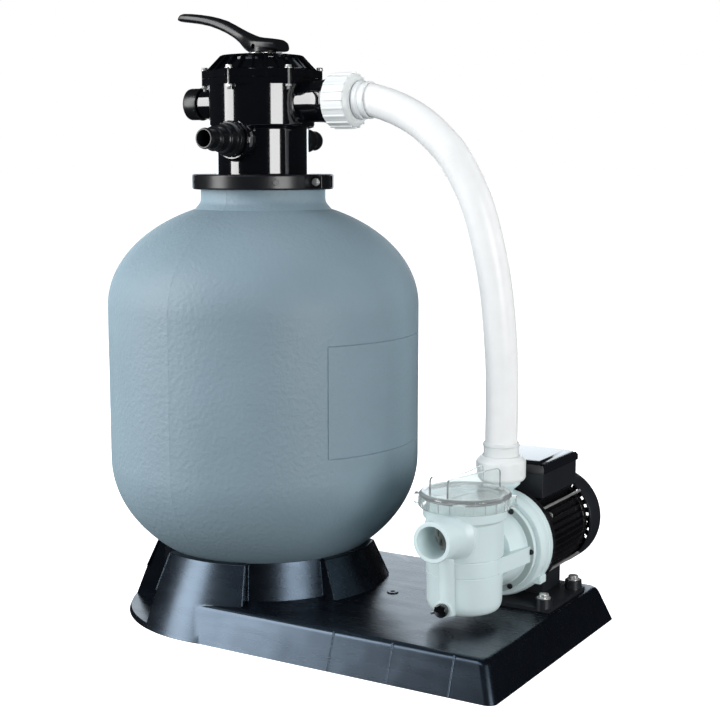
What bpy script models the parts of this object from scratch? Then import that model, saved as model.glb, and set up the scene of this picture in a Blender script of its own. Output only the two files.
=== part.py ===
"""Sand filter set: tank on its base moulding, six-way valve on the neck, pump with motor, and the hose that
joins them. Every length in this file is in millimetres, and MM turns it into Blender's metres. The design
frame has its origin on the tank's axis at floor level, +X from the tank to the pump and +Y to the back."""

import math

import bmesh
import bpy
from mathutils import Euler, Matrix, Vector

MM = 0.001
GAP = 0.3  # clearance between pieces that touch on the real object
TURN_GAP = 0.9  # clearance of a faceted nut, which has to pass the thread corner to corner as it turns
AROUND = 32  # facets of a large turned shape; shapes that fit in each other share it

# Base moulding
BASE_RIGHT, BASE_HALF, DECK_Z, SKIRT_LEAN = 525.0, 224.0, 56.0, 20.0
BASE_WALL, LIP_R, LIP_Z = 5.0, 226.0, 8.0
PEDESTAL_TOP, SEAT_R = 115.0, 163.0
PEDESTAL = ((177.0, PEDESTAL_TOP), (204.0, DECK_Z), (222.0, LIP_Z), (224.0, 0.0))  # radius, height
RECESS_HALF_ANGLE = 20.5

# Tank
TANK_R, TANK_WALL = 250.0, 6.0
CYL_LOW, CYL_HIGH = 255.0, 500.0
BOTTOM_RISE, TOP_RISE = 188.0, 170.0
NECK_R, NECK_BORE, NECK_TOP = 100.0, 85.0, 687.0
FLANGE_R, JOINT_Z = 102.5, 696.0
DRAIN_TURN, DRAIN_Z = 135.0, 150.0  # the tank drain looks away to the back left

# Clamp ring
RING_R, RING_LOW, RING_HIGH = 113.0, 684.0, 708.0
LUG_X = 109.5

# Valve
LOWER_R, UPPER_R, STEP_Z, BODY_TOP = 72.5, 85.0, 783.0, 857.0
HEX_R, HEX_LOW, LID_RIM_TOP, LID_TOP = 97.5, 846.0, 869.0, 893.0
CHAMBER_R, LOWER_CHAMBER_R = 76.0, 64.0
UPPER_PORT_Z, LOWER_PORT_Z = 820.0, 762.0
PIPE_R = 25.0  # standpipe
SCREW_PCR, SCREW_TURN = 91.0, 1.0
PIN_Z = 906.0

# Hose and unions
HOSE_R, HOSE_WALL, SLEEVE_R = 25.0, 4.0, 27.0
DISCHARGE_X, DISCHARGE_Y = 400.0, 54.0
HOSE_POINTS = (  # from inside the valve's sleeve to inside the pump's
    (177.0, 0.0, 820.0), (201.0, 0.0, 820.0), (244.0, 1.0, 807.0), (283.0, 3.0, 787.0), (316.0, 6.0, 759.5),
    (341.0, 10.0, 729.5), (371.0, 18.0, 668.0), (389.0, 28.0, 594.0), (398.0, 37.0, 524.0), (402.0, 45.0, 445.0),
    (401.5, 51.0, 375.0), (400.0, 54.0, 303.0), (400.0, 54.0, 278.0))

# Pump and motor
MOTOR_X, MOTOR_Z = 398.0, 147.0
POT_X, POT_Y, POT_R, POT_LOW, POT_TOP = 396.0, -58.0, 57.5, 74.0, 240.0
POT_FLANGE_LOW, POT_FLANGE_TOP = 213.0, 226.0
PORT_FACE_Y, PORT_Z, PORT_R, PORT_BORE = -160.0, 194.5, 29.8, 23.7
COVER_BACK, CASING_BACK, CASING_R = 35.7, 72.0, 83.0
FRAME_FRONT, FRAME_BACK, FRAME_R, FIN_R = 90.3, 240.0, 64.0, 73.0
SHAFT_R = 7.0
FOOT_BOLTS = ((482.0, 38.0), (482.0, 152.0), (314.0, 38.0), (314.0, 152.0))
FOOT_TOP, BOSS_TOP = 62.0, 75.0
BOX_X, BOX_Y, BOX_Z = (346.0, 450.0), (100.0, 232.0), (211.6, 250.0)

ALONG_X = (0.0, 90.0, 0.0)  # a turned shape's +Z then points along +X
ALONG_Y = (-90.0, 0.0, 0.0)  # +Z then points along +Y
ALONG_MINUS_X = (0.0, -90.0, 0.0)
ALONG_MINUS_Y = (90.0, 0.0, 0.0)


def clear_scene():
    for old in list(bpy.data.objects):
        bpy.data.objects.remove(old, do_unlink=True)


def new_collection(name):
    made = bpy.data.collections.new(name)
    bpy.context.scene.collection.children.link(made)
    return made


clear_scene()
PARTS = new_collection("sand_filter_set")
CUTTERS = new_collection("cutters")
ROOT = bpy.data.objects.new("design_origin", None)
PARTS.objects.link(ROOT)

COLOURS = {
    "tank": ((0.21, 0.28, 0.29), 0.6, 0.0),
    "black": ((0.012, 0.012, 0.014), 0.3, 0.0),
    "base": ((0.018, 0.02, 0.026), 0.38, 0.0),
    "white": ((0.85, 0.86, 0.84), 0.4, 0.0),
    "grey": ((0.62, 0.66, 0.66), 0.45, 0.0),
    "clear": ((0.8, 0.84, 0.84), 0.1, 0.0),
    "rubber": ((0.02, 0.02, 0.02), 0.8, 0.0),
    "steel": ((0.6, 0.6, 0.6), 0.3, 1.0),
    "copper": ((0.5, 0.25, 0.12), 0.4, 1.0),
}


def material(name):
    found = bpy.data.materials.get(name)
    if found:
        return found
    made = bpy.data.materials.new(name)
    made.use_nodes = True
    colour, roughness, metallic = COLOURS[name]
    shader = made.node_tree.nodes["Principled BSDF"]
    shader.inputs["Base Color"].default_value = (*colour, 1.0)
    shader.inputs["Roughness"].default_value = roughness
    shader.inputs["Metallic"].default_value = metallic
    return made


def add(name, mesh, at=(0, 0, 0), turn=(0, 0, 0), parent=None):
    """A new helper object. finish() makes it a part, and cut() or join() makes it a cutter."""
    made = bpy.data.objects.new(name, mesh)
    CUTTERS.objects.link(made)
    made.hide_render = True
    made.display_type = "WIRE"
    made.parent = parent or ROOT
    made.location = Vector(at) * MM
    made.rotation_euler = Euler([math.radians(a) for a in turn])
    return made


def finish(obj, name, colour):
    """Turns a helper into the part called name."""
    CUTTERS.objects.unlink(obj)
    PARTS.objects.link(obj)
    obj.hide_render = False
    obj.display_type = "TEXTURED"
    obj.name = name
    obj.data.materials.clear()
    obj.data.materials.append(material(colour))
    if obj.type == "MESH":
        obj.data.shade_smooth()
        obj.data.set_sharp_from_angle(angle=math.radians(35))
    return obj


def mesh_from(bm, name="shape"):
    bmesh.ops.recalc_face_normals(bm, faces=bm.faces)
    mesh = bpy.data.meshes.new(name)
    bm.to_mesh(mesh)
    bm.free()
    return mesh


def turned(profile, at=(0, 0, 0), turn=(0, 0, 0), steps=AROUND):
    """Revolves (radius, height) points about +Z. The points run down the outer side. A profile that starts and
    ends on the axis stays open, and any other is closed into a ring."""
    bm = bmesh.new()
    points = [bm.verts.new((r * MM, 0.0, z * MM)) for r, z in profile]
    for a, b in zip(points, points[1:]):
        bm.edges.new((a, b))
    if profile[0][0] > 0:
        bm.edges.new((points[-1], points[0]))
    mesh = bpy.data.meshes.new("profile")
    bm.to_mesh(mesh)
    bm.free()
    made = add("turned", mesh, at, turn)
    screw = made.modifiers.new("turn", "SCREW")
    screw.steps = screw.render_steps = steps
    screw.use_merge_vertices = True
    screw.merge_threshold = 1e-6
    screw.use_smooth_shade = True
    return made


def rod(radius, low, high, at=(0, 0, 0), turn=(0, 0, 0), steps=16, tip=None):
    """A cylinder, or a cone where tip is given, from low to high along its own +Z."""
    bm = bmesh.new()
    bmesh.ops.create_cone(
        bm, cap_ends=True, segments=steps, radius1=radius * MM,
        radius2=(radius if tip is None else tip) * MM, depth=(high - low) * MM,
        matrix=Matrix.Translation((0, 0, (low + high) / 2 * MM)),
    )
    return add("rod", mesh_from(bm), at, turn)


def box(low, high, at=(0, 0, 0), turn=(0, 0, 0), bevel=0.0):
    """A box between two corners, with all its edges rounded where bevel is given."""
    size = [b - a for a, b in zip(low, high)]
    middle = [(a + b) / 2 for a, b in zip(low, high)]
    bm = bmesh.new()
    bmesh.ops.create_cube(bm, size=1.0)
    bmesh.ops.scale(bm, vec=Vector(size) * MM, verts=bm.verts)
    bmesh.ops.translate(bm, vec=Vector(middle) * MM, verts=bm.verts)
    if bevel:
        bmesh.ops.bevel(bm, geom=bm.edges, offset=bevel * MM, segments=2, profile=0.5, affect="EDGES")
    return add("box", mesh_from(bm), at, turn)


def loft(rings, at=(0, 0, 0), turn=(0, 0, 0)):
    """A closed skin through rings of equal length, each a list of (x, y, z)."""
    bm = bmesh.new()
    loops = [[bm.verts.new(Vector(p) * MM) for p in ring] for ring in rings]
    for a, b in zip(loops, loops[1:]):
        for i in range(len(a)):
            j = (i + 1) % len(a)
            bm.faces.new((a[i], a[j], b[j], b[i]))
    bm.faces.new(loops[0])
    bm.faces.new(loops[-1])
    return add("loft", mesh_from(bm), at, turn)


def prism(outline, low, high, at=(0, 0, 0), turn=(0, 0, 0)):
    """An outline of (x, y) points raised from low to high."""
    return loft([[(x, y, z) for x, y in outline] for z in (low, high)], at, turn)


def arc(radius, start, end, steps, centre=(0.0, 0.0)):
    """Points of a circle between two angles in degrees, both ends included."""
    angles = [math.radians(start + (end - start) * i / steps) for i in range(steps + 1)]
    return [(centre[0] + radius * math.cos(a), centre[1] + radius * math.sin(a)) for a in angles]


def boolean(target, operation, helpers):
    for helper in helpers:
        step = target.modifiers.new(operation.lower(), "BOOLEAN")
        step.operation = operation
        step.object = helper
        step.solver = "EXACT"
    return target


def cut(target, *helpers):
    return boolean(target, "DIFFERENCE", helpers)


def join(target, *helpers):
    return boolean(target, "UNION", helpers)


def ring_of(make, count, start=0.0):
    """Calls make(angle) for count angles spread evenly round the circle."""
    return [make(start + 360.0 * i / count) for i in range(count)]


def round_ring(major, minor, z, at=(0, 0, 0), turn=(0, 0, 0), steps=20, sides=4):
    """An O-ring: a circle of radius minor turned about the axis."""
    points = [(major + r, z + h) for r, h in arc(minor, 90.0, 90.0 - 360.0, sides)[:-1]]
    return turned(points, at, turn, steps)


def bolt(at, turn=(0, 0, 0), shank=3.0, length=20.0, head=5.5, head_high=4.0, washer=7.0, washer_high=1.2):
    """A hexagon bolt with its washer. Its own origin is under the washer, and the shank runs to -Z."""
    body = turned(
        [(0, washer_high), (washer, washer_high), (washer, 0), (shank, 0), (shank, -length), (0, -length)],
        at, turn, steps=8,
    )
    return join(body, rod(head, washer_high - 0.2, washer_high + head_high, at, turn, steps=6))


# ---------------------------------------------------------------- base


def deck_ring(inset, z):
    """The deck's outline at height z, from the tank's axis to the rounded right-hand corners."""
    lean = SKIRT_LEAN * z / DECK_Z
    half, right, corner = BASE_HALF - lean - inset, BASE_RIGHT - lean - inset, 14.0
    points = [(0.0, -half)]
    points += arc(corner, -90, 0, 4, (right - corner, corner - half))
    points += arc(corner, 0, 90, 4, (right - corner, half - corner))
    points += [(0.0, half)]
    return [(x, y, z) for x, y in points]


def base_form(inset, low, deck_top, cone_top, recess_floors):
    """The solid form of the base, or with an inset the hollow under it."""
    cone = [(0.0, cone_top), (PEDESTAL[0][0] - inset, cone_top)]
    cone += [(r - inset, z) for r, z in PEDESTAL[1:-1]]
    cone += [(PEDESTAL[-1][0] - inset, low), (0.0, low)]
    form = join(turned(cone, steps=AROUND), loft([deck_ring(inset, low), deck_ring(inset, deck_top)]))
    spread = RECESS_HALF_ANGLE + inset * 0.4
    for middle in (45.0, 135.0, 225.0, 315.0):
        floor = recess_floors[0] if middle in (45.0, 315.0) else recess_floors[1]
        inner = arc(168.0 - inset, middle + spread, middle - spread, 4)
        inner_high = arc(175.0 - inset, middle + spread, middle - spread, 4)
        outer = arc(250.0, middle - spread, middle + spread, 4)
        rings = [[(x, y, z) for x, y in part + outer] for z, part in ((floor, inner), (120.0, inner_high))]
        cut(form, loft(rings))
    return form


def make_base():
    base = base_form(0.0, 0.0, DECK_Z, PEDESTAL_TOP, (DECK_Z, LIP_Z))
    join(base, rod(LIP_R, 0.0, LIP_Z, steps=AROUND),
         rod(9.0, DECK_Z - 1.0, DECK_Z + 1.2, (241.0, 0.0, 0.0), steps=12))
    cut(base, rod(4.0, -5.0, DECK_Z + 6.0, (241.0, 0.0, 0.0), steps=8))
    for x, y in FOOT_BOLTS:
        cut(base, rod(4.0 + GAP, -5.0, DECK_Z + 2.0, (x, y, 0.0), steps=8))
    hollow = base_form(BASE_WALL, -2.0, DECK_Z - BASE_WALL, PEDESTAL_TOP - 7.0, (DECK_Z - BASE_WALL, -3.0))
    cut(hollow, rod(SEAT_R + 5.0, -5.0, 125.0, steps=AROUND))
    seat = ellipsoid_profile(TANK_R + GAP, BOTTOM_RISE + GAP, CYL_LOW, 70.0, 135.0)
    cut(base, hollow, rod(SEAT_R, -5.0, 125.0, steps=AROUND), turned(seat, steps=AROUND))
    finish(base, "base_moulding", "base")
    for i, (x, y) in enumerate(FOOT_BOLTS):
        pump_bolt = bolt((x, y, BOSS_TOP + GAP), shank=4.0, length=28.0, head=8.0, head_high=5.5,
                         washer=10.0, washer_high=1.6)
        finish(pump_bolt, f"pump_bolt_{i + 1}", "steel")


# ---------------------------------------------------------------- tank


def ellipsoid_profile(radius, rise, centre_z, start, end, steps=4):
    """A closed dome form between two heights below centre_z, as a turned profile from the top down."""
    points = [(0.0, end)]
    for i in range(steps + 1):
        z = end + (start - end) * i / steps
        points.append((radius * math.sqrt(max(0.0, 1 - ((centre_z - z) / rise) ** 2)), z))
    return points + [(0.0, start)]


def dome(radius, rise, centre_z, first, last, steps):
    """Points of a quarter ellipse, by the angle from the tank's equator."""
    angles = [math.radians(first + (last - first) * i / steps) for i in range(steps + 1)]
    return [(radius * math.cos(a), centre_z + rise * math.sin(a)) for a in angles]


def make_tank():
    neck_angle = math.degrees(math.acos((NECK_R + 9.0) / TANK_R))
    inner_angle = math.degrees(math.acos(NECK_BORE / (TANK_R - TANK_WALL)))
    outside = [(FLANGE_R, JOINT_Z - GAP), (FLANGE_R, NECK_TOP), (NECK_R, NECK_TOP), (NECK_R, 665.0),
               (NECK_R + 3.0, 658.5)]
    outside += dome(TANK_R, TOP_RISE, CYL_HIGH, neck_angle, 0.0, 4)
    outside += dome(TANK_R, BOTTOM_RISE, CYL_LOW, 0.0, -90.0, 5)
    inside = dome(TANK_R - TANK_WALL, BOTTOM_RISE - TANK_WALL, CYL_LOW, -90.0, 0.0, 4)
    inside += dome(TANK_R - TANK_WALL, TOP_RISE - TANK_WALL, CYL_HIGH, 0.0, inner_angle, 3)
    inside += [(NECK_BORE, JOINT_Z - GAP)]
    tank = turned(inside + outside)
    away = (90.0, 0.0, DRAIN_TURN + 90.0)  # the drain's own +Z looks outwards along the floor
    drain_at = (0.0, 0.0, DRAIN_Z)
    join(tank, rod(24.0, 186.0, 226.0, drain_at, away))
    cut(tank, rod(14.0 + GAP, 180.0, 230.0, drain_at, away))
    groove = turned([(97.6, 700.0), (97.6, 691.6), (92.4, 691.6), (92.4, 700.0)], steps=20)
    finish(cut(tank, groove), "tank_shell", "tank")
    finish(round_ring(95.0, 2.0, 693.9), "neck_o_ring", "rubber")

    fitting = [(21.0, 230.0), (21.0, 226.0 + GAP), (14.0, 226.0 + GAP), (14.0, 196.0), (8.5, 196.0), (8.5, 252.0),
               (14.0, 252.0), (14.0, 230.0)]
    finish(turned(fitting, drain_at, away, steps=16), "drain_fitting", "black")
    cap = [(0.0, 258.0), (18.0, 258.0), (20.0, 256.0), (20.0, 232.0), (14.0 + GAP, 232.0), (14.0 + GAP, 252.0 + GAP),
           (0.0, 252.0 + GAP)]
    finish(turned(cap, drain_at, away, steps=16), "drain_cap", "black")


def make_clamp():
    section = [(RING_R - 1.5, RING_HIGH), (RING_R, RING_HIGH - 1.5), (RING_R, RING_LOW + 1.5), (RING_R - 1.5, RING_LOW),
               (NECK_R + GAP, RING_LOW), (NECK_R + GAP, NECK_TOP - GAP), (FLANGE_R + GAP, NECK_TOP - GAP),
               (FLANGE_R + GAP, 704.5 + GAP), (LOWER_R + 1.5, 704.5 + GAP), (LOWER_R + 1.5, RING_HIGH)]
    for name, side in (("clamp_front", -1.0), ("clamp_rear", 1.0)):
        half = turned(section)
        for x in (-LUG_X, LUG_X):
            left, right = sorted((x * 0.95, x * 1.09))
            join(half, box((left, -13.0, RING_LOW + 1.0), (right, 13.0, RING_HIGH - 1.0)))
        keep_out = [(-140.0, -0.4 if side < 0 else -140.0, 670.0), (140.0, 140.0 if side < 0 else 0.4, 720.0)]
        cut(half, box(*keep_out))
        for x in (-LUG_X, LUG_X):
            # the ring is open in front of the bolt's head and behind its nut
            near, far = sorted((side * 13.0, side * 40.0))
            left, right = sorted((x * 0.94, x * 1.2))
            cut(half, rod(3.0 + GAP, -30.0, 30.0, (x, 0.0, JOINT_Z), ALONG_Y, steps=16),
                box((left, near, JOINT_Z - 9.0), (right, far, JOINT_Z + 9.0)))
        finish(half, name, "black")
    for name, x in (("clamp_bolt_left", -LUG_X), ("clamp_bolt_right", LUG_X)):
        tie = bolt((x, -13.0 - GAP, JOINT_Z), ALONG_MINUS_Y, shank=3.0, length=33.0, head=5.5, washer=6.0)
        join(tie, rod(5.5, 13.0 + GAP, 18.0, (x, 0.0, JOINT_Z), ALONG_Y, steps=6))
        finish(tie, name, "steel")


def make_inner_pipework():
    pipe = [(PIPE_R, 774.0), (PIPE_R, 112.0), (PIPE_R - 2.5, 112.0), (PIPE_R - 2.5, 774.0)]
    finish(turned(pipe, steps=16), "standpipe", "white")
    hub = turned([(0.0, 84.0), (PIPE_R + GAP, 84.0), (PIPE_R + GAP, 124.0), (30.0, 124.0), (30.0, 80.0),
                  (20.0, 77.0), (0.0, 77.0)], steps=16)
    laterals = ring_of(lambda a: rod(8.0, 27.5, 108.0, (0, 0, 104.0), (0.0, 90.0, a), steps=8), 6)
    finish(join(hub, *laterals), "underdrain", "white")
    cup = [(62.0, 689.0), (62.0, 640.0), (PIPE_R + 1.0, 640.0), (PIPE_R + 1.0, 643.0), (59.0, 643.0), (59.0, 689.0)]
    slots = ring_of(lambda a: box((50.0, -4.0, 648.0), (70.0, 4.0, 682.0), turn=(0, 0, a)), 6)
    finish(cut(turned(cup, steps=20), *slots), "top_diffuser", "white")


# ---------------------------------------------------------------- valve


def hexagon(radius):
    return [(radius * math.sin(math.radians(SCREW_TURN + 60 * i)), -radius * math.cos(math.radians(SCREW_TURN + 60 * i)))
            for i in range(6)]


def screw_places():
    return [(SCREW_PCR / HEX_R * x, SCREW_PCR / HEX_R * y) for x, y in hexagon(HEX_R)]


def make_valve_body():
    outside = [(0.0, BODY_TOP - GAP), (UPPER_R, BODY_TOP - GAP), (UPPER_R, STEP_Z), (LOWER_R, STEP_Z - 3.0),
               (LOWER_R, 704.5), (FLANGE_R, 704.5), (FLANGE_R, JOINT_Z), (70.0, JOINT_Z), (70.0, 690.0), (0.0, 690.0)]
    body = join(turned(outside), prism(hexagon(HEX_R), HEX_LOW, BODY_TOP - GAP))
    upper, lower = (0.0, 0.0, UPPER_PORT_Z), (0.0, 0.0, LOWER_PORT_Z)
    join(body, rod(32.0, 60.0, 119.0, upper, ALONG_X), rod(32.0, 118.5, 131.0, upper, ALONG_X, tip=35.5),
         rod(34.0, 130.5, 146.0, upper, ALONG_X, steps=20),
         rod(22.0, 60.0, 134.0, upper, ALONG_MINUS_X), rod(24.0, 60.0, 111.0, upper, ALONG_MINUS_X),
         rod(34.0, 50.0, 84.0, lower, ALONG_Y, tip=32.0), rod(34.0, 50.0, 84.0, lower, ALONG_MINUS_Y, tip=32.0))
    # the lower chamber, the plate with its three port windows, and the upper chamber
    cut(body, rod(LOWER_CHAMBER_R, 680.0, 774.0, steps=AROUND), rod(CHAMBER_R, STEP_Z, 870.0, steps=AROUND),
        rod(PIPE_R + GAP, 770.0, 790.0, steps=16))
    for middle in (90.0, 210.0, 330.0):
        outline = arc(60.0, middle - 22, middle + 22, 2) + arc(34.0, middle + 22, middle - 22, 2)
        cut(body, prism(outline, 770.0, 786.0))
    cut(body, rod(22.0, 50.0, 151.0, upper, ALONG_X), rod(17.0, 50.0, 140.0, upper, ALONG_MINUS_X))
    for turn in (ALONG_Y, ALONG_MINUS_Y):
        cut(body, rod(19.0 + GAP, 40.0, 90.0, lower, turn, steps=12))
    for x, y in screw_places():
        cut(body, rod(3.0 + GAP, 840.0, 860.0, (x, y, 0.0), steps=8))
    cut(body, turned([(84.0, 860.0), (84.0, 853.2), (79.0, 853.2), (79.0, 860.0)]))
    finish(body, "valve_body", "black")


def make_valve_lid():
    lid = turned([(0.0, LID_TOP), (66.0, LID_TOP), (86.0, LID_RIM_TOP), (86.0, BODY_TOP), (0.0, BODY_TOP)])
    join(lid, prism(hexagon(HEX_R), BODY_TOP, LID_RIM_TOP))
    cut(lid, turned([(0.0, LID_TOP - 6.0), (60.0, LID_TOP - 6.0), (CHAMBER_R, 868.0), (CHAMBER_R, 850.0),
                     (0.0, 850.0)]),
        rod(12.0 + GAP, 880.0, 900.0, steps=16))
    for x, y in screw_places():
        cut(lid, rod(3.0 + GAP, 850.0, 880.0, (x, y, 0.0), steps=8),
            rod(7.0, LID_RIM_TOP, 900.0, (x, y, 0.0), steps=12))
    finish(lid, "valve_lid", "black")
    finish(round_ring(81.5, 1.5, 855.1), "lid_o_ring", "rubber")
    for i, (x, y) in enumerate(screw_places()):
        screw = bolt((x, y, LID_RIM_TOP + GAP), shank=3.0, length=32.0, head=5.0, head_high=4.0, washer=6.0)
        join(screw, rod(5.2, -27.5, -23.2 - 2 * GAP, (x, y, LID_RIM_TOP + GAP), steps=6))
        finish(screw, f"lid_screw_{i + 1}", "steel")


def make_valve_inside():
    gasket = turned([(CHAMBER_R - GAP, 786.0), (CHAMBER_R - GAP, STEP_Z + GAP), (29.0, STEP_Z + GAP), (29.0, 786.0)],
                    steps=AROUND)
    for middle in range(0, 360, 60):
        outline = arc(70.0, middle + 5, middle + 55, 2) + arc(34.0, middle + 55, middle + 5, 1)
        cut(gasket, prism(outline, 780.0, 790.0))
    finish(gasket, "spider_gasket", "rubber")
    rotor = turned([(0.0, 912.5), (12.0, 912.5), (12.0, 800.0), (30.0, 797.0), (74.0, 794.0), (74.0, 786.0 + GAP),
                    (0.0, 786.0 + GAP)], steps=24)
    window = arc(66.0, -26, 26, 4) + arc(36.0, 26, -26, 4)
    cut(rotor, prism(window, 780.0, 800.0), rod(4.0 + GAP, -20.0, 20.0, (0, 0, PIN_Z), ALONG_Y, steps=16))
    finish(rotor, "valve_rotor", "black")
    finish(turned([(30.0, 886.3), (30.0, 884.0), (12.6, 884.0), (12.6, 886.3)], steps=20), "thrust_washer", "white")
    finish(coil(20.0, 1.6, 804.0, 881.8, 4.0), "rotor_spring", "steel")


def coil(radius, wire, low, high, turns):
    """A compression spring about the tank's axis."""
    curve = bpy.data.curves.new("coil", "CURVE")
    curve.dimensions = "3D"
    curve.bevel_depth = wire * MM
    curve.bevel_resolution = 0
    curve.use_fill_caps = True
    count = int(turns * 9)
    line = curve.splines.new("POLY")
    line.points.add(count)
    for i, point in enumerate(line.points):
        angle = 2 * math.pi * turns * i / count
        z = low + (high - low) * i / count
        point.co = (radius * MM * math.cos(angle), radius * MM * math.sin(angle), z * MM, 1.0)
    return add("coil", curve)


def lever_outline():
    """The side view of the lever, as (x, z): along the top to the grip's end and back underneath."""
    top = [(41.0, 897.5), (36.0, 912.0), (20.0, 918.5), (-7.0, 923.0), (-20.0, 928.0), (-44.0, 939.0),
           (-69.0, 951.0), (-97.0, 959.0), (-152.0, 966.0)]
    return top + [(-161.0, 953.0), (-125.0, 948.0), (-94.0, 941.5), (-69.0, 932.0), (-47.0, 920.0), (-28.0, 904.5),
                  (-25.5, 897.5)]


def make_handle():
    half = 13.0
    side = [(x, PIN_Z - z) for x, z in lever_outline()]
    lever = prism(side, -half, half, (0.0, 0.0, PIN_Z), ALONG_Y)
    bevel = lever.modifiers.new("soften", "BEVEL")
    bevel.width = 3.0 * MM
    bevel.segments = 1
    join(lever, rod(25.0, 897.5 - PIN_Z, 916.0 - PIN_Z, (8.0, 0.0, PIN_Z), steps=20, tip=22.0))
    cut(lever, box((-16.0, -12.8, -30.0), (16.0, 12.8, 9.8), (0.0, 0.0, PIN_Z)),
        rod(4.0 + GAP, -30.0, 30.0, (0.0, 0.0, PIN_Z), ALONG_Y, steps=16))
    finish(lever, "valve_handle", "black")
    finish(rod(4.0, -19.0, 19.0, (0.0, 0.0, PIN_Z), ALONG_Y, steps=16), "handle_pin", "steel")


def make_valve_fittings():
    """The two hose tails and the cap, each on its own axis."""
    low, high = 85.0 + GAP, 155.0
    tail = [(27.0, low), (19.0, low), (19.0, 66.0), (14.0, 66.0), (12.5, high), (15.0, high), (15.75, high - 2.0),
            (15.75, 132.0), (19.0, 130.0), (19.0, 112.0), (21.0, 110.0), (21.0, 96.0), (27.0, 94.0)]
    for name, turn in (("return_hose_tail", ALONG_MINUS_Y), ("waste_hose_tail", ALONG_Y)):
        finish(turned(tail, (0, 0, LOWER_PORT_Z), turn, steps=12), name, "black")
    cap = [(0.0, 141.0), (23.5, 141.0), (25.5, 139.0), (25.5, 115.0), (22.0 + GAP, 115.0), (22.0 + GAP, 134.5),
           (0.0, 134.5)]
    finish(turned(cap, (0, 0, UPPER_PORT_Z), ALONG_MINUS_X, steps=24), "blanking_cap", "black")


# ---------------------------------------------------------------- hose


def union(base_z, thread_r, nut_r, nut_end, nut_low, tail_end, socket, ribs, at, turn, names):
    """A union nut and its tail. base_z is the end of the fixed thread that the tail's collar closes on."""
    collar = base_z + 6.0
    bore, neck = thread_r + TURN_GAP, SLEEVE_R + TURN_GAP
    nut = [(nut_r, nut_end - 4.0), (nut_r, nut_low), (bore, nut_low), (bore, collar + GAP),
           (neck, collar + GAP), (neck, nut_end), (nut_r - 5.0, nut_end)]
    shape = turned(nut, at, turn, steps=20)
    if ribs:
        grip = ring_of(lambda a: box((-2.5, nut_r - 2.0, nut_low + 2.0), (2.5, nut_r + 2.2, nut_end - 6.0),
                                     at, axis_turn(turn, a)), ribs)
        join(shape, *grip)
    finish(shape, names[0], "white")
    tail = [(SLEEVE_R, tail_end), (SLEEVE_R, collar), (thread_r - 1.0, collar), (thread_r - 1.0, base_z + GAP),
            (20.0, base_z + GAP), (20.0, socket), (HOSE_R + 2 * GAP, socket), (HOSE_R + 2 * GAP, tail_end)]
    finish(turned(tail, at, turn, steps=20), names[1], "white")


def axis_turn(turn, angle):
    """The turn of a shape that is first spun by angle about its own axis, in degrees."""
    both = Euler([math.radians(a) for a in turn]).to_matrix() @ Matrix.Rotation(math.radians(angle), 3, "Z")
    return [math.degrees(a) for a in both.to_euler()]


def hose_route(steps=2):
    """A smooth curve through HOSE_POINTS (Catmull-Rom), with the stretches inside the two sleeves straight."""
    p = [Vector(point) for point in HOSE_POINTS]
    line = [p[0]]
    for before, a, b, after in zip(p, p[1:], p[2:], p[3:]):
        for i in range(steps):
            t = i / steps
            line.append(0.5 * (2 * a + (b - before) * t + (2 * before - 5 * a + 4 * b - after) * t * t
                               + (3 * a - 3 * b + after - before) * t ** 3))
    return line + p[-2:]


def make_hose():
    curve = bpy.data.curves.new("hose_line", "CURVE")
    curve.dimensions = "3D"
    curve.bevel_depth = HOSE_R * MM
    curve.bevel_resolution = 2
    line = curve.splines.new("POLY")
    route = hose_route()
    line.points.add(len(route) - 1)
    for point, place in zip(line.points, route):
        point.co = (*(place * MM), 1.0)
    guide = add("hose_guide", curve)
    bpy.context.view_layer.update()
    graph = bpy.context.evaluated_depsgraph_get()
    mesh = bpy.data.meshes.new_from_object(guide.evaluated_get(graph))
    bpy.data.objects.remove(guide, do_unlink=True)
    hose = add("hose", mesh)
    wall = hose.modifiers.new("wall", "SOLIDIFY")
    wall.thickness = HOSE_WALL * MM
    wall.offset = -1.0
    finish(hose, "hose", "white")
    union(146.0, 34.0, 41.0, 179.0, 133.0, 201.0, 172.0, 8, (0, 0, UPPER_PORT_Z), ALONG_X,
          ("valve_union_nut", "valve_union_tail"))
    union(262.0, 30.0, 38.0, 284.0, 246.0, 304.0, 274.0, 0, (DISCHARGE_X, DISCHARGE_Y, 0), (0, 0, 0),
          ("pump_union_nut", "pump_union_tail"))


# ---------------------------------------------------------------- pump


def on_motor(profile, steps=24):
    """A shape turned about the motor's axis, whose heights are places along Y."""
    return turned(profile, (MOTOR_X, 0.0, MOTOR_Z), ALONG_Y, steps)


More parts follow.
